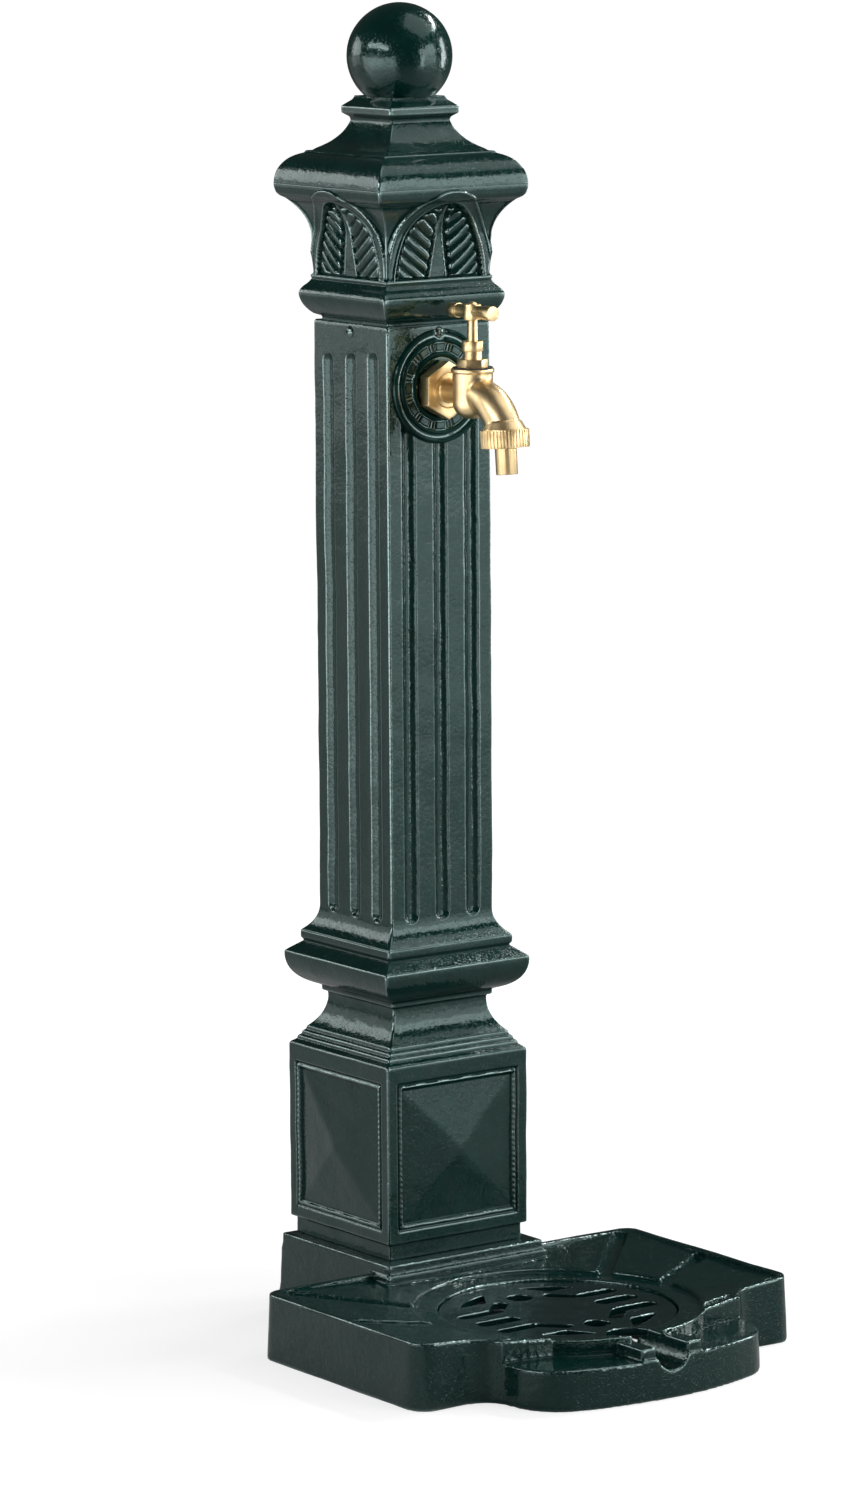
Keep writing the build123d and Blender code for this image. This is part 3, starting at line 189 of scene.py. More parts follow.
# %% Profiles
def moulding_line(rows, step=0.8, blur=0.55):
    """Half-width and height along a profile; a bow lifts a stretch off its chord."""
    parts = []
    for (w0, z0, _), (w1, z1, bow) in zip(rows, rows[1:]):
        count = max(2, int(np.hypot(w1 - w0, z1 - z0) * (1 + 3 * abs(bow)) / step) + 1)
        share = np.linspace(0, 1, count, endpoint=False)
        arch = 4 * share * (1 - share) * bow
        parts.append(np.stack([w0 + (w1 - w0) * share + (z1 - z0) * arch,
                               z0 + (z1 - z0) * share - (w1 - w0) * arch], -1))
    line = np.vstack(parts + [np.array([rows[-1][:2]])])
    run = np.concatenate([[0], np.cumsum(np.hypot(*np.diff(line, axis=0).T))])
    even = np.linspace(0, run[-1], int(run[-1] / step) + 1)
    line = np.stack([np.interp(even, run, line[:, 0]), np.interp(even, run, line[:, 1])], -1)
    reach = int(3 * blur / step) + 1
    kernel = np.exp(-0.5 * (np.arange(-reach, reach + 1) * step / blur) ** 2)
    kernel /= kernel.sum()
    before = 2 * line[0] - line[reach:0:-1]
    after = 2 * line[-1] - line[-2:-reach - 2:-1]
    padded = np.vstack([before, line, after])
    return np.stack([np.convolve(padded[:, i], kernel, "valid") for i in (0, 1)], -1)


sharp_edge = moulding_line([(8.0, 0.0, 0), (10.0, 2.0, 0), (8.0, 4.0, 0)])
print("an edge drawn at 10 mm is cast at", round(float(sharp_edge[:, 0].max()), 2), "mm")

# %% [markdown]
# Blender's spin tool carries a profile only round a circle. A tower is square, so
# its grid is computed: steps along each face, then a few round the corner's arc.
# A face's relief moves its points straight in or out.

# %% Square towers
CORNER_RADIUS = 1.3
BOX_REAR = 160.0


def tower(line, across, relief=None, corner_steps=5, radius=CORNER_RADIUS):
    """Carries a profile round a square: shares across each face, then a corner arc."""
    width, height = line[:, 0], line[:, 1]
    flat = width - radius
    turns = np.linspace(-90, 0, corner_steps + 2)[1:-1]
    arc = np.radians(turns)
    sides = []
    for side in range(4):
        a = flat[:, None] * across[None, :]
        z = np.repeat(height[:, None], len(across), 1)
        out = np.repeat(width[:, None], len(across), 1)
        if relief is not None:
            out = out + relief(a, z, side)
        corner_x = flat[:, None] + radius * np.cos(arc)[None, :]
        corner_y = -flat[:, None] + radius * np.sin(arc)[None, :]
        x = np.hstack([a, corner_x])
        y = np.hstack([-out, corner_y])
        z = np.hstack([z, np.repeat(height[:, None], len(arc), 1)])
        cos, sin = [(1, 0), (0, 1), (-1, 0), (0, -1)][side]
        sides.append(np.stack([x * cos - y * sin, x * sin + y * cos, z], -1))
    return np.concatenate(sides, 1)


def cast_tower(grid, seed):
    """Moves a tower's points away from its axis by the wander of the casting.

    No point goes past the rear of the part's box.
    """
    away = grid.copy()
    away[..., 2] = 0
    away /= np.linalg.norm(away, axis=-1, keepdims=True) + 1e-9
    moved = grid + away * grid_wander(grid, seed)[..., None]
    moved[..., 1] = np.minimum(moved[..., 1], BOX_REAR - AXIS_Y)
    return moved


def shares(half, *stretches):
    """Even shares across a face from runs of (from, to, count), in millimetres."""
    ticks = np.concatenate([np.linspace(a, b, n, endpoint=False) for a, b, n in stretches])
    ticks = np.unique(np.concatenate([ticks, [stretches[-1][1]]]))
    both = np.unique(np.concatenate([-ticks, ticks]))
    return both / half


small_tower = tower(sharp_edge, np.linspace(-1, 1, 5))
print("a tower with 5 columns on each face has", small_tower.shape[1], "columns round")

# %% [markdown]
# ## Plinth and shaft
# Each face of the plinth carries a sunk panel with a rope-like bead, filled by a
# low pyramid. It could be cut with booleans, but their edges stay sharp. A relief,
# the distance in or out at each place on the face, bends the grid softly instead.

# %% Relief of the panels
DIE_HALF = 52.3
RELIEF_TOP = 160
PANEL_HALF = 44.9
PANEL_LOW = 64.6
PANEL_HIGH = 155.6
GROOVE_DEPTH = 1.7
BEAD_IN = 2.3
BEAD_RISE = 0.35
ROPE_RISE = 0.22
ROPE_TURNS = 1.9
FIELD_DEPTH = 1.9
FIELD_IN = 4.2
PYRAMID_RISE = 5.3
INLET_Z = 110.0
INLET_LAND = (18.0, 21.5)
INLET_LAND_DEPTH = 2.7
INLET_POCKET = (11.5, 15.5)
INLET_POCKET_DEPTH = 20.0


def smooth_step(value, low, high):
    """0 below low, 1 above high, and an S-shaped rise between them."""
    share = np.clip((value - low) / (high - low), 0, 1)
    return share * share * (3 - 2 * share)


def panel_relief(a, z, side):
    """Depth by the distance in from the panel's edge.

    From the edge inwards come a groove, a bead with a slanting wave on it like
    a rope, a step down to the field, and a pyramid that rises evenly to the
    panel's middle. The rear panel also has a flat round land and a hole for the
    water inlet.
    """
    inside = np.minimum(PANEL_HALF - np.abs(a), np.minimum(z - PANEL_LOW, PANEL_HIGH - z))
    groove = -GROOVE_DEPTH * (smooth_step(inside, -0.3, 0.7) - smooth_step(inside, 0.9, 1.9))
    bead = BEAD_RISE * np.exp(-((inside - BEAD_IN) / 0.7) ** 2) * (inside > 0)
    twist = np.sin((a + z) * ROPE_TURNS + side)
    rope = ROPE_RISE * np.exp(-((inside - BEAD_IN) / 0.9) ** 2) * twist
    field = -FIELD_DEPTH * smooth_step(inside, 3.0, FIELD_IN)
    pyramid = PYRAMID_RISE * np.clip((inside - FIELD_IN) / (PANEL_HALF - FIELD_IN), 0, 1)
    relief = (groove + bead + rope * (inside > 0) + field + pyramid) * (z < RELIEF_TOP)
    if side == 2:
        far = np.hypot(a, z - INLET_Z)
        land = smooth_step(far, *INLET_LAND)
        pocket = 1 - smooth_step(far, *INLET_POCKET)
        relief = relief * land - INLET_LAND_DEPTH * (1 - land) - INLET_POCKET_DEPTH * pocket
    return relief


panel_tip = panel_relief(np.zeros((1, 1)), np.full((1, 1), INLET_Z), 0)
print("the pyramid's tip stands", round(float(panel_tip[0, 0]), 2), "mm out of the face")

# %% [markdown]
# Each face of the shaft has three flutes, grooves with a round bottom and round
# ends. They are a relief too: the depth depends on the distance to a groove's
# middle line.

# %% Relief of the flutes
FLUTE_HALF = 5.2
FLUTE_DEPTH = 2.5
FLUTE_LOW = 249.6
FLUTE_HIGH = 593.0
FLUTE_PITCH = 23.0
FLUTE_LIP = 0.12


def flute_relief(a, z, side):
    """Depth of a round groove with round ends, at three places across the face.

    Each groove is a circle's arc below the face, with a low lip beside it. Its
    upper end lies a little higher or lower from one groove to the next.
    """
    radius = (FLUTE_HALF ** 2 + FLUTE_DEPTH ** 2) / (2 * FLUTE_DEPTH)
    depth = np.zeros_like(a)
    for row in (-1, 0, 1):
        high = FLUTE_HIGH + (1.6 * row if side == 3 else -1.2 * row)
        past = np.maximum(FLUTE_LOW + FLUTE_HALF - z, 0) + np.maximum(z - high + FLUTE_HALF, 0)
        far = np.hypot(a - row * FLUTE_PITCH, past)
        cut = np.sqrt(np.maximum(radius ** 2 - far ** 2, 0)) - (radius - FLUTE_DEPTH)
        depth = np.maximum(depth, np.where(far < FLUTE_HALF, cut, 0))
        lip = np.exp(-((far - FLUTE_HALF - 0.5) / 0.55) ** 2)
        depth = depth - FLUTE_LIP * lip
    return -depth


flute_middle = flute_relief(np.zeros((1, 1)), np.full((1, 1), 400.0), 0)
print("depth in a flute's middle, in mm:", round(float(flute_middle[0, 0]), 2))

# %% [markdown]
# The plinth and the shaft are one casting on the real standpipe. Boxes with
# bevels could build them, but carrying the drawn profile round a square gives the
# mouldings, the relief and the soft edges in one surface. The profile is cut at
# the shaft's foot, because flutes and panels need their columns in other places.

# %% Plinth and shaft
SHAFT_HALF = 38.0
SHAFT_TOP = 610.5
PLINTH_ROWS = [
    (49.5, 46.9, 0), (49.5, 56.7, 0), (DIE_HALF, 57.3, 0), (DIE_HALF, 164.0, 0),
    (50.4, 167.4, 0.20), (48.6, 168.6, 0), (48.6, 170.2, 0), (46.6, 171.6, 0),
    (46.6, 173.2, 0), (44.6, 174.6, 0), (44.6, 176.2, 0), (35.0, 195.0, -0.10),
    (35.0, 198.6, 0), (37.6, 199.2, 0), (37.6, 202.4, 0), (41.0, 203.6, 0),
    (54.0, 220.0, 0.16), (54.0, 223.2, 0), (45.0, 230.0, 0), (46.6, 231.8, 0),
    (46.6, 236.2, 0), (45.6, 237.2, 0), (38.0, 252.0, -0.11),
]
plinth_line = moulding_line(PLINTH_ROWS)
split = int(np.searchsorted(plinth_line[:, 1], 236.0))
across_panel = shares(DIE_HALF - CORNER_RADIUS, (0, 39, 14), (39, 46, 13), (46, 51, 4))
plinth = tower(plinth_line[:split + 1], across_panel, panel_relief)
plinth = tube_object("column_plinth", cast_tower(plinth, 11))

flute_edges = np.array([0, 1.3, 2.6, 3.6, 4.4, 4.9, 5.2, 5.6, 6.4])
flute_ticks = np.concatenate([
    flute_edges, FLUTE_PITCH - flute_edges, FLUTE_PITCH + flute_edges,
    [11.5, 32.0, 34.0, 35.6, 36.7]])
flute_ticks = np.unique(np.concatenate([-flute_ticks, flute_ticks]))
across_flutes = flute_ticks / (SHAFT_HALF - CORNER_RADIUS)
shaft_heights = np.concatenate([
    np.arange(252.4, 258.0, 0.6), np.arange(258.0, 584.0, 3.0), np.arange(584.0, 596.0, 0.6),
    np.arange(596.0, 609.0, 2.6), [609.2, 609.9, 610.3, SHAFT_TOP]])
shaft_widths = SHAFT_HALF - 0.9 * smooth_step(shaft_heights, 609.0, 611.2)
shaft_line = np.vstack([plinth_line[split:], np.stack([shaft_widths, shaft_heights], -1)])
shaft = tower(shaft_line, across_flutes, flute_relief)
shaft = tube_object("column_shaft", cast_tower(shaft, 12))
for piece in (plinth, shaft):
    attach(piece, "standpipe")
    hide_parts("column_casting")
    print(piece.name, len(piece.data.polygons), "faces")

# %% [markdown]
# ## Rosette
# Round the tap the face carries a rosette: two raised rings, a band of small
# blocks and an inner ring. It is a turned profile about the tap's axis, so its
# grid runs round that axis, and the band's blocks are added to its height.

# %% Rosette
ROSETTE_Z = 573.3
ROSETTE_ROWS = np.array([
    (10.6, -3.0), (10.6, 0.3), (17.2, 0.3), (17.8, 1.0), (18.5, 2.1), (19.4, 2.4),
    (20.3, 2.1), (20.9, 1.0), (21.4, 0.2), (25.8, 0.2), (26.3, 1.0), (26.9, 2.2),
    (27.8, 2.5), (28.7, 2.2), (29.3, 1.1), (29.7, 0.2), (31.0, 0.2), (31.5, 1.1),
    (32.0, 2.1), (32.9, 2.4), (33.7, 2.0), (34.3, 1.1), (34.5, 0.0), (34.6, -3.0),
    (10.6, -3.0),
])
BAND_START = (20.8, 21.6)
BAND_END = (25.6, 26.4)
BLOCK_RISE = 1.3
BLOCK_EDGE = (0.26, 0.32)
TICK_RISE = 1.1
TICK_AT = 0.40
SCREW_Z = 605.5
SCREW_CLEAR = (4.0, 6.2)
LEFT_AT_SCREW = 0.12
ROSETTE_WANDER = 0.6


def rosette_points(angles=300, step=0.45, sectors=12):
    """Radius and height along the profile, turned round the tap's axis.

    In the band each twelfth of a turn holds one wide block and, between two
    blocks, two thin ticks. The rings sink away at the screw above the tap.
    """
    run = np.concatenate([[0], np.cumsum(np.hypot(*np.diff(ROSETTE_ROWS, axis=0).T))])
    even = np.linspace(0, run[-1], int(run[-1] / step))
    radius = np.interp(even, run, ROSETTE_ROWS[:, 0])[:, None]
    height = np.interp(even, run, ROSETTE_ROWS[:, 1])[:, None]
    angle = np.linspace(0, 2 * np.pi, angles, endpoint=False)[None, :]
    sector = (angle * sectors / (2 * np.pi) + 0.5) % 1.0 - 0.5
    band = smooth_step(radius, *BAND_START) - smooth_step(radius, *BAND_END)
    block = 1 - smooth_step(np.abs(sector), *BLOCK_EDGE)
    tick = np.exp(-((np.abs(sector) - TICK_AT) / 0.035) ** 2)
    height = height + band * (BLOCK_RISE * block + TICK_RISE * tick)
    x = radius * np.sin(angle)
    z = ROSETTE_Z + radius * np.cos(angle)
    free = smooth_step(np.hypot(x, z - SCREW_Z), *SCREW_CLEAR)
    kept = LEFT_AT_SCREW + (1 - LEFT_AT_SCREW) * free
    height = np.where(height > 0, height * kept, height)
    return np.stack([x, -SHAFT_HALF - height, z + 0 * height], -1)


rosette_grid = rosette_points()
rosette_grid[..., 1] += grid_wander(rosette_grid, 21) * ROSETTE_WANDER
rosette = tube_object("rosette", rosette_grid[:, ::-1], close_low=False, close_high=False)
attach(rosette, "standpipe")
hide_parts("column_casting")
print("rosette", len(rosette.data.polygons), "faces")

# %% [markdown]
# ## Head
# The head has a roll at its foot, a bell-shaped capital, a flat-topped moulding
# that spreads wide, a hollow neck with a bead, and a ball. Each face of the
# capital shows two palm leaves under a round arch. The leaves are a relief too:
# ribs that climb outwards from a plain wedge in the middle.

# %% Relief of the capital
ARCH_FOOT = 634.0
ARCH_OUTER = (39.6, 56.6)
ARCH_INNER = (32.6, 48.6)
BAND_LOW = 0.9
BAND_RIM = 1.7
SPANDREL_DEPTH = 1.3
FIELD_SUNK = 2.4
WEDGE_HALF = 6.8
WEDGE_TIP = 680.0
WEDGE_TALL = 42.0
WEDGE_RISE = 1.6
STEM_RISE = 0.8
RIB_PITCH = 7.7
RIB_FOOT = 634.5
RIB_RISE = 2.7
LEAF_OUTER = (28.4, 47.2)
LEAF_ASIDE = 3.0
LEAF_NOTCH_IN = 2.4
LEAF_NOTCH_OUT = 1.6
CAPITAL_FOOT = (637.0, 638.2)
RIM_UNDER = (680.5, 683.0)
RIM_TOP = (689.5, 691.5)


def ellipse_share(a, z, size):
    """1 on the ellipse about the arch's foot, less inside, more outside."""
    return np.hypot(a / size[0], (z - ARCH_FOOT) / size[1])


def leaf_relief(a, z, side):
    """Height by the place on the face, alike on all four sides.

    The arch band lies between two ellipses and rises towards both of its rims.
    Inside it the field is sunk. A plain wedge narrows upwards in its middle, and
    beside it each leaf is a row of ribs that climb outwards, as the power of a
    sine of the height less a share of the distance from the middle. Each leaf
    ends at an ellipse and is notched between the ribs.
    """
    near = np.abs(a)
    outer_gap = (1 - ellipse_share(a, z, ARCH_OUTER)) * 42.0
    inner_gap = (ellipse_share(a, z, ARCH_INNER) - 1) * 36.0
    band_place = np.clip(inner_gap / (outer_gap + inner_gap + 1e-6), 0, 1)
    in_band = smooth_step(outer_gap, -0.3, 0.6) * smooth_step(inner_gap, -0.3, 0.6)
    band = in_band * (BAND_LOW + BAND_RIM * np.abs(2 * band_place - 1) ** 2.6)
    spandrel = -SPANDREL_DEPTH * smooth_step(-outer_gap, 0.0, 1.6)
    inside = smooth_step(-inner_gap, -0.3, 0.9)
    wedge_half = np.clip(WEDGE_HALF * (WEDGE_TIP - z) / WEDGE_TALL, 0.6, WEDGE_HALF)
    wedge = smooth_step(wedge_half - near, -0.6, 0.5)
    climb = z - 0.60 * near - 0.004 * near ** 2
    rib = np.abs(np.sin(np.pi * (climb - RIB_FOOT) / RIB_PITCH)) ** 0.62
    leaf_in = near - wedge_half - 1.4 - LEAF_NOTCH_IN * (1 - rib)
    leaf_edge = (1.0 - ellipse_share(near - LEAF_ASIDE, z, LEAF_OUTER)) * 30
    leaf_out = leaf_edge - LEAF_NOTCH_OUT * (1 - rib)
    leaf = smooth_step(leaf_in, 0.0, 1.6) * smooth_step(leaf_out, 0.0, 1.6)
    leaf = leaf * smooth_step(z, 637.8, 639.2)
    crown = np.clip((near - wedge_half) / 26.0, 0, 1)
    leaf_height = 0.5 + RIB_RISE * rib * (1.0 - 0.5 * crown) + 1.0 * np.sin(np.pi * crown)
    stem = STEM_RISE * np.exp(-((near - wedge_half) / 0.8) ** 2)
    field = inside * (-FIELD_SUNK + WEDGE_RISE * wedge + stem + leaf * leaf_height)
    low = smooth_step(z, *CAPITAL_FOOT)
    under_rim = 1 - smooth_step(z, *RIM_UNDER)
    below_top = 1 - smooth_step(z, *RIM_TOP)
    return low * (band * below_top + spandrel * under_rim + field)


face_a, face_z = np.meshgrid(np.linspace(-50, 50, 201), np.linspace(637, 692, 111))
leaf_depths = leaf_relief(face_a, face_z, 0)
print("capital relief from", round(leaf_depths.min(), 1), "to", round(leaf_depths.max(), 1), "mm")

# %% [markdown]
# The head is one casting too. Its profile is cut into a roll, the capital and the
# neck, because only the capital needs fine columns for its leaves. A ready-made
# sphere would look too perfect on top, so the ball is a grid of latitudes and
# longitudes with a little of the same wander.

# %% Head in three pieces and the ball
HEAD_ROWS = [
    (34.6, 610.5, 0), (34.6, 612.6, 0), (38.4, 614.0, 0), (44.8, 625.0, 0.09), (44.8, 626.9, 0),
    (41.0, 632.0, 0.08), (38.8, 635.2, 0), (39.6, 636.2, 0), (39.6, 637.2, 0),
    (37.8, 638.5, -0.08), (39.2, 664.0, 0), (50.4, 683.6, -0.09), (54.2, 686.9, 0.10),
    (55.0, 690.2, 0), (54.4, 697.4, 0.03), (41.4, 710.6, 0.15), (40.5, 711.9, 0.4),
    (39.0, 711.4, 0), (36.4, 713.4, 0), (21.5, 730.0, -0.10), (22.0, 732.0, 0),
    (25.4, 734.4, 0), (25.4, 738.4, 0), (22.2, 741.0, 0), (19.6, 744.5, -0.1),
]
CAPITAL_SPAN = (636.9, 692.0)
HEAD_SEED = 31
BALL_RADIUS = 31.7
BALL_Z = 800.0 - BALL_RADIUS
BALL_WANDER = 0.3

head_line = moulding_line(HEAD_ROWS, step=0.6, blur=0.5)
low_cut, high_cut = (int(np.searchsorted(head_line[:, 1], height)) for height in CAPITAL_SPAN)
even_across = np.linspace(-1, 1, 31)
fine_across = np.linspace(-1, 1, 121)
head_parts = [
    tube_object(name, cast_tower(tower(line, across, relief), HEAD_SEED))
    for name, line, across, relief in (
        ("head_roll", head_line[:low_cut + 1], even_across, None),
        ("capital", head_line[low_cut:high_cut + 1], fine_across, leaf_relief),
        ("head_neck", head_line[high_cut:], even_across, None),
    )
]

latitude = np.linspace(-np.pi / 2, np.pi / 2, 81)[1:-1, None]
longitude = np.linspace(0, 2 * np.pi, 128, endpoint=False)[None, :]
ball_grid = np.stack([
    BALL_RADIUS * np.cos(latitude) * np.cos(longitude),
    BALL_RADIUS * np.cos(latitude) * np.sin(longitude),
    BALL_Z + BALL_RADIUS * np.sin(latitude) + 0 * longitude,
], -1)
outward = (ball_grid - np.array([0, 0, BALL_Z])) / BALL_RADIUS
ball_grid = ball_grid + outward * BALL_WANDER * (grid_wander(ball_grid, 41)[..., None] - 0.15)
head_parts.append(tube_object("ball", ball_grid))
for piece in head_parts:
    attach(piece, "standpipe")
    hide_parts("head_casting")
    print(piece.name, len(piece.data.polygons), "faces")

# %% [markdown]
# ## Basin and grate
# The basin's shape is already right in the CAD model, but its edges are knife
# sharp. A copy is merged, remeshed in small cubes and smoothed, which rounds
# every edge as sand casting and thick paint do. If it is too fine, its triangles
# are joined up on the underside first.

# %% Copies of CAD nodes
def merged_copy(node, name):
    """A copy of a CAD node's mesh with its loose triangles joined up."""
    mesh = frame["nodes"][node].data.copy()
    mesh.name = name
    mesh.materials.clear()
    piece = bpy.data.objects.new(name, mesh)
    bpy.context.scene.collection.objects.link(piece)
    weld = piece.modifiers.new("weld", "WELD")
    weld.merge_threshold = 0.000002
    return piece


def read_vectors(piece, key):
    """A vector of every vertex, its place or its normal, as an array of rows."""
    values = np.zeros(len(piece.data.vertices) * 3, np.float32)
    piece.data.vertices.foreach_get(key, values)
    return values.reshape(-1, 3)


def shade_smooth(piece):
    """Every face of the piece is shaded smooth."""
    polygons = piece.data.polygons
    polygons.foreach_set("use_smooth", np.ones(len(polygons), bool))


def applied(piece):
    """The piece's mesh with its modifiers worked in."""
    bpy.context.view_layer.update()
    seen = piece.evaluated_get(bpy.context.evaluated_depsgraph_get())
    mesh = bpy.data.meshes.new_from_object(seen)
    mesh.name = piece.name
    piece.modifiers.clear()
    piece.data = mesh
    return piece


print(len(frame["nodes"]), "CAD nodes to copy from")

# %% [markdown]
# The voxel size sets how sharp an edge can stay: about a millimetre for the sandy
# basin, half of that for the thinner grate, and a third for the polished tap.

# %% Soft copies, basin and grate
MOST_TRIANGLES = 190000


def soft_copy(node, name, voxel, rounds):
    """Voxel remesh, Laplacian smoothing and, if it is too fine, a collapse."""
    piece = merged_copy(node, name)
    remesh = piece.modifiers.new("remesh", "REMESH")
    remesh.mode = "VOXEL"
    remesh.voxel_size = voxel
    smooth = piece.modifiers.new("smooth", "SMOOTH")
    smooth.factor = 0.5
    smooth.iterations = rounds
    applied(piece)
    triangles = 2 * len(piece.data.polygons)
    if triangles > MOST_TRIANGLES:
        downward = np.flatnonzero(read_vectors(piece, "normal")[:, 2] < -0.5)
        group = piece.vertex_groups.new(name="underside")
        group.add(downward.tolist(), 1.0, "REPLACE")
        collapse = piece.modifiers.new("collapse", "DECIMATE")
        collapse.ratio = MOST_TRIANGLES / triangles
        if len(downward) * 2 > triangles - MOST_TRIANGLES:
            collapse.vertex_group = "underside"
        applied(piece)
        piece.vertex_groups.clear()
    shade_smooth(piece)
    print(name, "from", node, ":", triangles, "triangles before the collapse")
    return piece


def cast_skin(piece, seed, depth):
    """Moves every vertex along its normal by the wander of the casting."""
    points = read_vectors(piece, "co").astype(float)
    shift = cast_wander(points / MM, seed) * depth * MM
    points = points + read_vectors(piece, "normal") * shift[:, None]
    piece.data.vertices.foreach_set("co", points.astype(np.float32).ravel())
    piece.data.update()


basin = soft_copy("base_basin", "basin", 1.1 * MM, 2)
cast_skin(basin, 51, 0.7)
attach(basin, "standpipe")
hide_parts("base_basin")
grate = soft_copy("drain_grate", "grate", 0.6 * MM, 2)
cast_skin(grate, 52, 0.6)
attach(grate, "grate")
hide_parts("drain_grate")

# %% [markdown]
# ## Tap
# The tap's body is a brass casting, polished after casting, so its joins are
# blended. It gets a fine soft copy, smoothed once more where the barrel meets the
# shank. Modelling it by hand with blended curves would take far longer.

# %% Tap body
BARREL_LOW, BARREL_HIGH = (np.array(corner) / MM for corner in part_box("tap_body"))
JOIN_AT = (0.0, BARREL_LOW[1] + 34.0, BARREL_HIGH[2] - 17.5)
JOIN_REACH = (19.0, 17.0, 18.0)
JOIN_ROUNDS = 110
LEVELS = 8


def blend_join(piece, middle, reach, rounds):
    """Smooths the mesh only near a join, most at its middle, as a cast fillet."""
    points = read_vectors(piece, "co") / MM
    far = np.linalg.norm((points - np.array(middle)) / np.array(reach), axis=1)
    weight = 1 - smooth_step(far, 0.55, 1.0)
    group = piece.vertex_groups.new(name="join")
    for level in range(1, LEVELS + 1):
        chosen = (weight > (level - 1) / LEVELS) & (weight <= level / LEVELS)
        group.add(np.flatnonzero(chosen).tolist(), level / LEVELS, "REPLACE")
    smooth = piece.modifiers.new("join", "SMOOTH")
    smooth.vertex_group = "join"
    smooth.factor = 0.6
    smooth.iterations = rounds
    applied(piece)
    piece.vertex_groups.clear()
    shade_smooth(piece)


body = soft_copy("tap_body", "tap_casting", 0.34 * MM, 6)
blend_join(body, JOIN_AT, JOIN_REACH, JOIN_ROUNDS)
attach(body, "standpipe")
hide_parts("tap_body")

# %% [markdown]
# The nuts, the headpiece, the cross bar and the hose tail are turned or milled, so
# they keep flat faces. A soft copy would round them like soap, so they get a
# narrow bevel on each edge, which catches the light as a worn edge does.

# %% Machined brass
BEVEL_ANGLE = 32.0


def machined_copy(node, name, bevel, body_name):
    """A merged copy with a rounded bevel on every edge sharper than the angle."""
    piece = merged_copy(node, name)
    applied(piece)
    shade_smooth(piece)
    edge = piece.modifiers.new("bevel", "BEVEL")
    edge.width = bevel * MM
    edge.segments = 2
    edge.limit_method = "ANGLE"
    edge.angle_limit = np.radians(BEVEL_ANGLE)
    edge.harden_normals = True
    edge.use_clamp_overlap = True
    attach(piece, body_name)
    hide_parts(node)
    return piece


MACHINED = [
    ("tap_locknut", "wall_nut", 0.45, "standpipe", "polished_brass"),
    ("bonnet", "headpiece", 0.35, "standpipe", "polished_brass"),
    ("gland_nut", "gland_cap", 0.25, "standpipe", "polished_brass"),
    ("spindle", "stem", 0.2, "handle", "polished_brass"),
    ("tee_handle", "cross_bar", 0.22, "handle", "polished_brass"),
    ("handle_screw", "bar_screw", 0.15, "handle", "polished_brass"),
    ("union_nut", "knurled_nut", 0.12, "union", "polished_brass"),
    ("hose_tail", "outlet_pipe", 0.3, "outlet_tail", "polished_brass"),
    ("head_screws", "face_screws", 0.15, "standpipe", "dark_screw"),
]
brass_pieces = {name: machined_copy(node, name, bevel, carrier)
                for node, name, bevel, carrier, slot_name in MACHINED}
print(len(brass_pieces), "machined pieces")

# %% [markdown]
# ## Edges
# Thick gloss paint gathers on sharp edges and shines more there, and it is duller
# in a corner. So each painted piece gets a value at every vertex: above zero on a
# ridge, below zero in a crease. It is the mean bend towards the neighbours.

# %% Bend of the surface at each vertex
BEND_RANGE = (0.045, 0.16)
SCREW_BEND_RANGE = (0.02, 0.10)


def mark_edges(piece, flat, sharp):
    """Writes a value from -1 to 1 at each vertex, and returns the share of ridges.

    It is the drop of each neighbour below the vertex's normal plane, over the
    distance squared, averaged over the neighbours and then twice with theirs.
    """
    mesh = piece.data
    count = len(mesh.vertices)
    pairs = np.zeros(len(mesh.edges) * 2, np.int32)
    mesh.edges.foreach_get("vertices", pairs)
    points = read_vectors(piece, "co").astype(float) / MM
    normals = read_vectors(piece, "normal")
    first, second = pairs.reshape(-1, 2).T
    way = points[second] - points[first]
    square = (way ** 2).sum(-1) + 0.01
    drop_first = -(way * normals[first]).sum(-1) / square
    drop_second = (way * normals[second]).sum(-1) / square

    def gathered(at_first, at_second):
        return np.bincount(first, at_first, count) + np.bincount(second, at_second, count)

    beside = np.maximum(gathered(None, None), 1)
    bend = gathered(drop_first, drop_second) / beside
    for _ in range(2):
        bend = 0.5 * bend + 0.5 * gathered(bend[second], bend[first]) / beside
    edge = np.sign(bend) * smooth_step(np.abs(bend), flat, sharp)
    layer = mesh.attributes.new("edge", "FLOAT", "POINT")
    layer.data.foreach_set("value", edge.astype(np.float32))
    return float((edge > 0.5).mean())


for piece in [plinth, shaft, rosette, *head_parts, basin, grate]:
    ridges = mark_edges(piece, *BEND_RANGE)
    print(piece.name, "has", round(100 * ridges, 1), "% of its points on ridges")
mark_edges(brass_pieces["face_screws"], *SCREW_BEND_RANGE)

# %% [markdown]
# ## Paint
# The paint is a dark green gloss enamel over the grain of the sand. The bump has
# three sizes: soft orange peel, small pits and broad lumps. The same grain feeds
# every painted piece, so it is a node group that puts out a height and a mask.

# %% Shared grain as a node group
def socket(group, name, kind, in_out, value=None):
    """A named way in or out of a node group."""
    made = group.interface.new_socket(name=name, in_out=in_out, socket_type=kind)
    if value is not None:
        made.default_value = value


def add_node(tree, kind, operation=None, **values):
    """A shader node with its operation and its input values, _ standing for a space."""
    made = tree.nodes.new("ShaderNode" + kind)
    if operation:
        made.operation = operation
    for key, value in values.items():
        made.inputs[key.replace("_", " ")].default_value = value
    return made


def link(tree, out_node, out_name, in_node, in_name):
    """Joins one node's output to another's input."""
    tree.links.new(out_node.outputs[out_name], in_node.inputs[in_name])


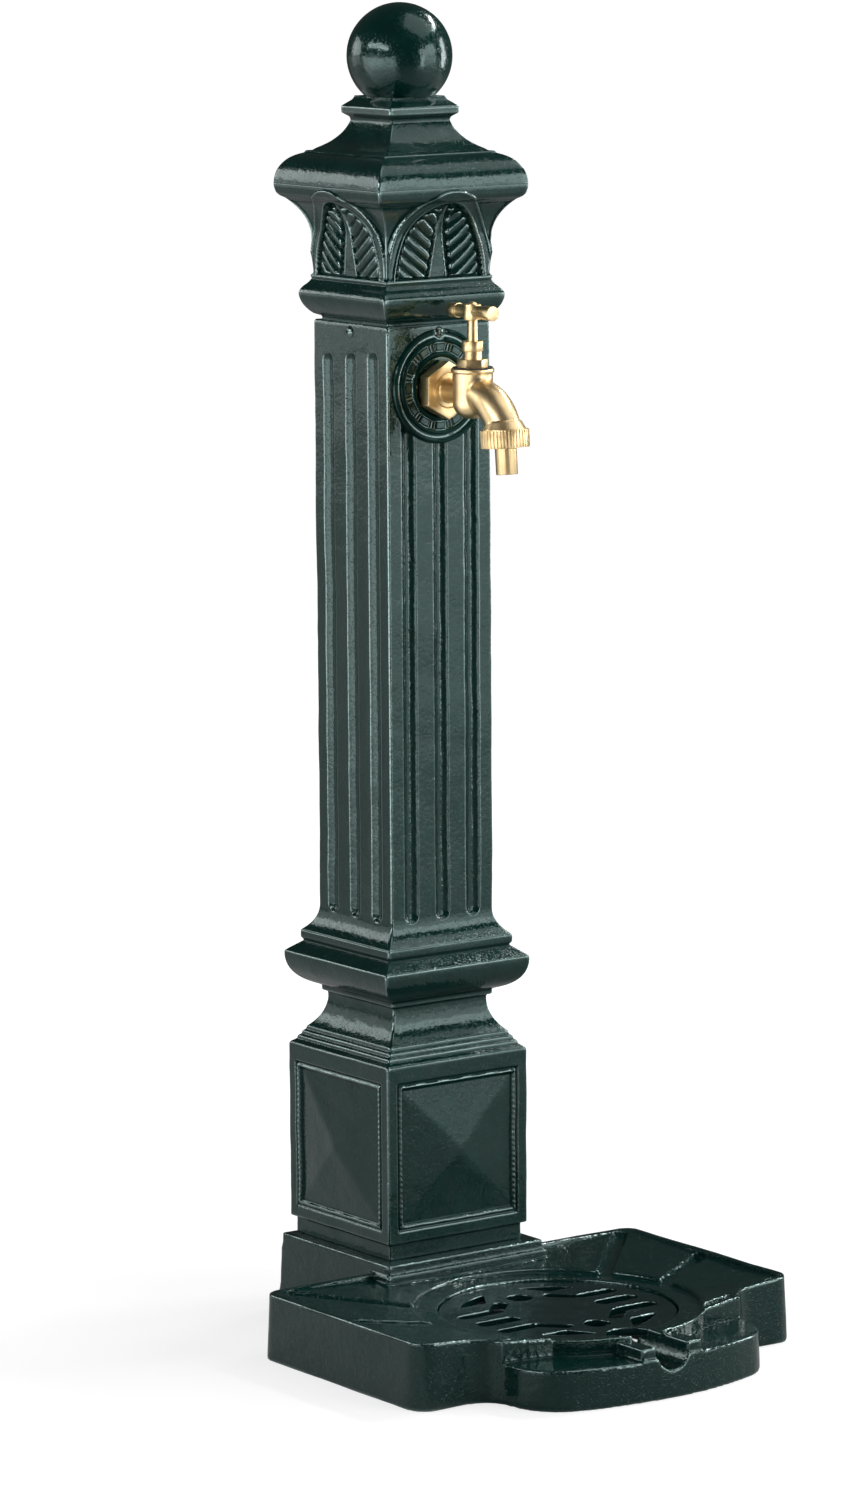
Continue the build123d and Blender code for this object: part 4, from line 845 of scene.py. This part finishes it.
def tone_ramp(tree, source, output, dark, light, places=(0.0, 1.0)):
    """A colour that goes from dark to light with a source's value."""
    ramp = add_node(tree, "ValToRGB")
    for element, place, colour in zip(ramp.color_ramp.elements, places, (dark, light)):
        element.position = place
        element.color = (*colour, 1)
    link(tree, source, output, ramp, "Fac")
    return ramp


def cast_grain_group():
    """Height of orange peel, pits and lumps from Object coordinates."""
    group = bpy.data.node_groups.new("cast grain", "ShaderNodeTree")
    socket(group, "Vector", "NodeSocketVector", "INPUT")
    socket(group, "Peel size", "NodeSocketFloat", "INPUT", 420.0)
    socket(group, "Pit amount", "NodeSocketFloat", "INPUT", 0.5)
    socket(group, "Height", "NodeSocketFloat", "OUTPUT")
    socket(group, "Mask", "NodeSocketFloat", "OUTPUT")
    enter = group.nodes.new("NodeGroupInput")
    leave = group.nodes.new("NodeGroupOutput")
    peel = add_node(group, "TexNoise", Detail=2.0, Roughness=0.45)
    link(group, enter, "Vector", peel, "Vector")
    link(group, enter, "Peel size", peel, "Scale")
    pits = add_node(group, "TexNoise", Scale=950.0, Detail=1.0)
    link(group, enter, "Vector", pits, "Vector")
    sparse = add_node(group, "MapRange", From_Min=0.58, From_Max=0.72)
    link(group, pits, "Fac", sparse, "Value")
    lumps = add_node(group, "TexNoise", Scale=110.0, Detail=1.0)
    link(group, enter, "Vector", lumps, "Vector")
    weighted = add_node(group, "Math", "MULTIPLY")
    link(group, sparse, "Result", weighted, 0)
    link(group, enter, "Pit amount", weighted, 1)
    first = add_node(group, "Math", "SUBTRACT")
    link(group, peel, "Fac", first, 0)
    link(group, weighted, "Value", first, 1)
    second = add_node(group, "Math", "ADD")
    link(group, first, "Value", second, 0)
    link(group, lumps, "Fac", second, 1)
    link(group, second, "Value", leave, "Height")
    link(group, lumps, "Fac", leave, "Mask")
    return group


CAST_GRAIN = cast_grain_group()
print("cast grain has", len(CAST_GRAIN.nodes), "nodes")

# %% [markdown]
# The paint's colour and roughness drift a little with the grain. The mark on the
# edges sets the strength of its mirror image: weak in creases, strong on ridges.

# %% Painted iron
def new_material(name):
    """A material with its node tree and the shader in it."""
    material = bpy.data.materials.new(name)
    material.use_nodes = True
    tree = material.node_tree
    return material, tree, tree.nodes["Principled BSDF"]


PAINT_DRIFT = (0.8, 1.25)
PAINT_IOR = 1.5
CREASE_IOR = 1.15
EDGE_SHINE = 0.95
GREEN_SHINE = (0.74, 1.0, 0.97, 1)


def paint_material(name, dark, light, roughness, depth, peel, pits):
    """Gloss paint: two colours, a roughness, a bump's depth, its peel and its pits."""
    material, tree, shader = new_material(name)
    place = add_node(tree, "TexCoord")
    grain = tree.nodes.new("ShaderNodeGroup")
    grain.node_tree = CAST_GRAIN
    grain.inputs["Peel size"].default_value = peel
    grain.inputs["Pit amount"].default_value = pits
    link(tree, place, "Object", grain, "Vector")
    colours = tone_ramp(tree, grain, "Mask", dark, light, (0.3, 0.7))
    link(tree, colours, "Color", shader, "Base Color")
    smooth, rough = (roughness * drift for drift in PAINT_DRIFT)
    gloss = add_node(tree, "MapRange", To_Min=smooth, To_Max=rough)
    link(tree, grain, "Mask", gloss, "Value")
    link(tree, gloss, "Result", shader, "Roughness")
    edge = add_node(tree, "Attribute")
    edge.attribute_name = "edge"
    crease = add_node(
        tree, "MapRange", From_Min=-1.0, From_Max=0.0, To_Min=CREASE_IOR, To_Max=PAINT_IOR)
    link(tree, edge, "Fac", crease, "Value")
    ridge = add_node(tree, "MapRange", To_Max=EDGE_SHINE)
    link(tree, edge, "Fac", ridge, "Value")
    shine = add_node(tree, "Math", "ADD")
    link(tree, crease, "Result", shine, 0)
    link(tree, ridge, "Result", shine, 1)
    link(tree, shine, "Value", shader, "IOR")
    shader.inputs["Specular Tint"].default_value = GREEN_SHINE
    bump = add_node(tree, "Bump", Strength=1.0, Distance=depth)
    link(tree, grain, "Height", bump, "Height")
    link(tree, bump, "Normal", shader, "Normal")
    return material


PAINT = paint_material(
    "green_gloss_paint", (0.0010, 0.019, 0.0155), (0.0016, 0.026, 0.021),
    0.10, 0.00014, 420.0, 0.35)
SAND_PAINT = paint_material(
    "green_paint_on_sand_skin", (0.0010, 0.016, 0.0135), (0.0015, 0.021, 0.0175),
    0.11, 0.00022, 300.0, 0.6)
GRATE_PAINT = paint_material(
    "grate_paint", (0.0010, 0.012, 0.011), (0.0015, 0.016, 0.015), 0.10, 0.00014, 420.0, 0.4)
SCREW_PAINT = paint_material(
    "screw_paint", (0.010, 0.014, 0.014), (0.020, 0.024, 0.024), 0.14, 0.00003, 420.0, 0.1)
print("four paints")

# %% [markdown]
# ## Metals and rubber
# The tap is polished brass. Polishing leaves faint waves and fine scratches that
# run round each piece. The hidden brass is plainer, the bolts are zinc plated,
# and the seals are matt rubber.

# %% Brass, steel and rubber
METAL_DRIFT = (0.7, 1.4)


def metal_material(name, dark, light, roughness, scratch_scale, depth):
    """Metal with a soft change of tone and fine marks in its normal."""
    material, tree, shader = new_material(name)
    place = add_node(tree, "TexCoord")
    tone = add_node(tree, "TexNoise", Scale=90.0, Detail=3.0)
    link(tree, place, "Object", tone, "Vector")
    colours = tone_ramp(tree, tone, "Fac", dark, light, (0.35, 0.65))
    link(tree, colours, "Color", shader, "Base Color")
    stretch = add_node(tree, "Mapping", Scale=scratch_scale)
    link(tree, place, "Object", stretch, "Vector")
    marks = add_node(tree, "TexNoise", Scale=1.0, Detail=3.0)
    link(tree, stretch, "Vector", marks, "Vector")
    smooth, rough = (roughness * drift for drift in METAL_DRIFT)
    gloss = add_node(tree, "MapRange", To_Min=smooth, To_Max=rough)
    link(tree, marks, "Fac", gloss, "Value")
    link(tree, gloss, "Result", shader, "Roughness")
    bump = add_node(tree, "Bump", Distance=depth)
    link(tree, marks, "Fac", bump, "Height")
    link(tree, bump, "Normal", shader, "Normal")
    shader.inputs["Metallic"].default_value = 1.0
    return material


BRASS = metal_material(
    "polished_brass", (0.74, 0.55, 0.28), (0.82, 0.63, 0.36), 0.34, (900, 900, 260), 0.00002)
PLAIN_BRASS = metal_material(
    "plain_brass", (0.55, 0.38, 0.16), (0.70, 0.50, 0.24), 0.34, (700, 700, 700), 0.00003)
ZINC = metal_material(
    "zinc_plate", (0.45, 0.46, 0.47), (0.60, 0.61, 0.62), 0.35, (600, 600, 600), 0.00003)


def rubber_material():
    """Matt black with a fine dusty change of tone."""
    material, tree, shader = new_material("seal_rubber")
    place = add_node(tree, "TexCoord")
    dust = add_node(tree, "TexNoise", Scale=400.0)
    link(tree, place, "Object", dust, "Vector")
    colours = tone_ramp(tree, dust, "Fac", (0.012, 0.012, 0.012), (0.035, 0.035, 0.034))
    link(tree, colours, "Color", shader, "Base Color")
    shader.inputs["Roughness"].default_value = 0.75
    return material


RUBBER = rubber_material()

SLOT_MATERIALS = {
    "painted_iron": PAINT, "painted_grate": GRATE_PAINT, "dark_screw": SCREW_PAINT,
    "zinc_steel": ZINC, "plain_brass": PLAIN_BRASS, "polished_brass": BRASS,
    "seal_rubber": RUBBER,
}
slot_of_node = {row["node"]: row["material_slot"] for row in frame["record"]["subparts"]}


def dress(piece, material):
    """The material becomes the only one on the piece."""
    piece.data.materials.clear()
    piece.data.materials.append(material)


for node, piece in frame["nodes"].items():
    dress(piece, SLOT_MATERIALS[slot_of_node[node]])
for piece in [plinth, shaft, rosette, *head_parts]:
    dress(piece, PAINT)
dress(basin, SAND_PAINT)
dress(grate, GRATE_PAINT)
dress(body, BRASS)
for name, piece in brass_pieces.items():
    dress(piece, SCREW_PAINT if name == "face_screws" else BRASS)
print("materials on", len(frame["nodes"]), "nodes and on every new piece")

# %% [markdown]
# ## Studio
# The photograph has a white sweep and large soft lamps, and the gloss paint is
# their mirror: each flat face shows one level of light, and each curved one the
# change from lamp to gap. So the studio is a ring of soft lamps in storeys, set
# by the angles that the faces mirror, in a dim world. The floor is a pale disc.
# Only the camera sees it lifted to white, and only mirror images see its bright
# wedges, so that the object keeps its shadow.

# %% Mirrored wedges of the floor
# Angle from the front, half width in degrees, brightness far off, share of it near by.
SECTORS = [(-84, 38, 3.4, 0.08), (-150, 30, 0.22, 1.25), (34, 25, 0.75, 0.08)]


def add_sector(tree, aim, length, total, degrees, half, strength, near):
    """Adds a soft-edged wedge of the floor, seen from the object's middle."""
    turn = np.radians(degrees)
    along = add_node(tree, "VectorMath", "DOT_PRODUCT")
    along.inputs[1].default_value = (np.sin(turn), -np.cos(turn), 0)
    link(tree, aim, "Vector", along, 0)
    wedge = add_node(tree, "MapRange")
    wedge.interpolation_type = "SMOOTHSTEP"
    wedge.inputs["From Min"].default_value = np.cos(np.radians(half + 6))
    wedge.inputs["From Max"].default_value = np.cos(np.radians(half - 6))
    link(tree, along, "Value", wedge, "Value")
    reach = add_node(
        tree, "MapRange", From_Min=0.5, From_Max=2.6, To_Min=strength * near, To_Max=strength)
    link(tree, length, "Value", reach, "Value")
    lit = add_node(tree, "Math", "MULTIPLY_ADD")
    link(tree, wedge, "Result", lit, 0)
    link(tree, reach, "Result", lit, 1)
    link(tree, total, "Value", lit, 2)
    return lit


print(len(SECTORS), "mirrored wedges")

# %% [markdown]
# A plain white floor would throw its light back on the object from below. This
# one is grey for the light and adds its glow only to rays from the camera and to
# mirror images.

# %% Floor
NEAR_GLOW = 0.73
BASE_GLOW = 0.045
FLOOR_TONE = 0.35
FLOOR_SIDES = 128
FLOOR_DROP = 0.0003


def floor_material():
    material, tree, shader = new_material("white_floor")
    shader.inputs["Base Color"].default_value = (FLOOR_TONE, FLOOR_TONE, FLOOR_TONE, 1)
    shader.inputs["Roughness"].default_value = 0.9
    place = add_node(tree, "TexCoord")
    length = add_node(tree, "VectorMath", "LENGTH")
    link(tree, place, "Object", length, 0)
    far = add_node(tree, "MapRange", From_Min=0.25, From_Max=1.1, To_Min=NEAR_GLOW, To_Max=1.0)
    link(tree, length, "Value", far, "Value")
    path = add_node(tree, "LightPath")
    seen = add_node(tree, "Math", "MULTIPLY")
    link(tree, path, "Is Camera Ray", seen, 0)
    link(tree, far, "Result", seen, 1)
    aim = add_node(tree, "VectorMath", "NORMALIZE")
    link(tree, place, "Object", aim, 0)
    total = add_node(tree, "Value")
    total.outputs[0].default_value = BASE_GLOW
    for degrees, half, strength, near in SECTORS:
        total = add_sector(tree, aim, length, total, degrees, half, strength, near)
    mirrored = add_node(tree, "Math", "MULTIPLY")
    link(tree, path, "Is Glossy Ray", mirrored, 0)
    link(tree, total, "Value", mirrored, 1)
    glow = add_node(tree, "Math", "ADD")
    link(tree, seen, "Value", glow, 0)
    link(tree, mirrored, "Value", glow, 1)
    shader.inputs["Emission Color"].default_value = (1, 1, 1, 1)
    link(tree, glow, "Value", shader, "Emission Strength")
    return material


angle = np.linspace(0, 2 * np.pi, FLOOR_SIDES, endpoint=False)
radii = np.array([0.0, 0.5, 2.0, 8.0, 30.0])[1:, None]
disc = np.stack([radii * np.cos(angle), radii * np.sin(angle), 0 * radii * angle], -1)
floor_mesh = bpy.data.meshes.new("floor")
disc_points = np.vstack([disc.reshape(-1, 3), [[0.0, 0.0, 0.0]]])
ring = np.arange(FLOOR_SIDES)
fan = np.stack([ring, (ring + 1) % FLOOR_SIDES, 0 * ring + len(disc_points) - 1], -1)
floor_faces = grid_faces(len(disc), FLOOR_SIDES)[:, ::-1].tolist() + fan.tolist()
floor_mesh.from_pydata(disc_points.tolist(), [], floor_faces)
floor = bpy.data.objects.new("floor", floor_mesh)
bpy.context.scene.collection.objects.link(floor)
floor_mesh.materials.append(floor_material())
floor.location.z = -FLOOR_DROP
print("floor with", len(floor_faces), "faces")

# %% [markdown]
# A lamp is given by its angle round the object, its distance and its height, and
# by the brightness that a mirror image of it has. Its power follows: four times
# its area times that brightness.

# %% Lamps
def soft_lamp(name, place, aim, width, height, power):
    """A rectangular lamp at a place, turned towards a point."""
    data = bpy.data.lights.new(name, "AREA")
    data.shape = "RECTANGLE"
    data.size = width
    data.size_y = height
    data.energy = power
    lamp = bpy.data.objects.new(name, data)
    bpy.context.scene.collection.objects.link(lamp)
    lamp.location = place
    way = Vector(aim) - Vector(place)
    lamp.rotation_mode = "QUATERNION"
    lamp.rotation_quaternion = way.to_track_quat("-Z", "Y")
    return lamp


def standing_lamp(name, degrees, distance, middle, width, height, radiance):
    """A lamp at an angle from the front towards the right, for a given brightness."""
    turn = np.radians(degrees)
    place = (distance * np.sin(turn), -distance * np.cos(turn), middle)
    aim = (0, 0, middle)
    return soft_lamp(name, place, aim, width, height, 4 * width * height * radiance)


def high_strip(name, degrees, climb, distance, width, height, radiance):
    """A narrow level strip at an angle round and an angle up, facing the object."""
    turn = np.radians(degrees)
    rise = np.radians(climb)
    flat = distance * np.cos(rise)
    place = (flat * np.sin(turn), -flat * np.cos(turn), 0.1 + distance * np.sin(rise))
    return soft_lamp(name, place, (0, 0, 0.1), width, height, 4 * width * height * radiance)


# Name, angle, distance, middle height, width, height, brightness.
STANDING_LAMPS = [
    ("front_low", 38, 2.0, 0.18, 1.10, 0.32, 0.72),
    ("front_middle", 38, 2.0, 0.57, 1.10, 0.46, 1.8),
    ("back_low", -146, 2.0, 0.18, 1.10, 0.32, 0.20),
    ("back_middle", -146, 2.0, 0.57, 1.10, 0.46, 0.85),
    ("front_strip", 18, 1.95, 0.62, 0.32, 1.2, 4.5),
    ("left_panel", -92, 2.0, 0.50, 1.20, 0.9, 0.6),
    ("left_window", -88, 2.0, 1.48, 2.0, 0.40, 6.5),
    ("front_high", 38, 2.0, 1.17, 1.0, 0.72, 3.6),
    ("back_high", -146, 2.0, 1.12, 1.0, 0.62, 3.0),
    ("right_window", 80, 1.9, 0.80, 0.45, 1.2, 7.0),
]
for lamp_row in STANDING_LAMPS:
    standing_lamp(*lamp_row)
soft_lamp("right_roof", (0.84, -0.70, 2.6), (0, 0, 0.7), 1.9, 1.9, 16)
high_strip("right_ridge", 95, 48, 2.4, 1.3, 0.16, 20.0)

# %% [markdown]
# The world is white for the camera, as the photograph's ground is, and dim for
# every other ray, so that the lamps alone draw the reflections.

# %% World
WORLD_GLOW = 0.05
world = bpy.data.worlds.new("studio")
bpy.context.scene.world = world
world.use_nodes = True
sky = world.node_tree
ground = sky.nodes["Background"]
ground.inputs["Color"].default_value = (1, 1, 1, 1)
path = add_node(sky, "LightPath")
seen = add_node(sky, "MapRange", To_Min=WORLD_GLOW, To_Max=1.0)
link(sky, path, "Is Camera Ray", seen, "Value")
link(sky, seen, "Result", ground, "Strength")
print("world glows", WORLD_GLOW, "for the object and 1.0 for the camera")
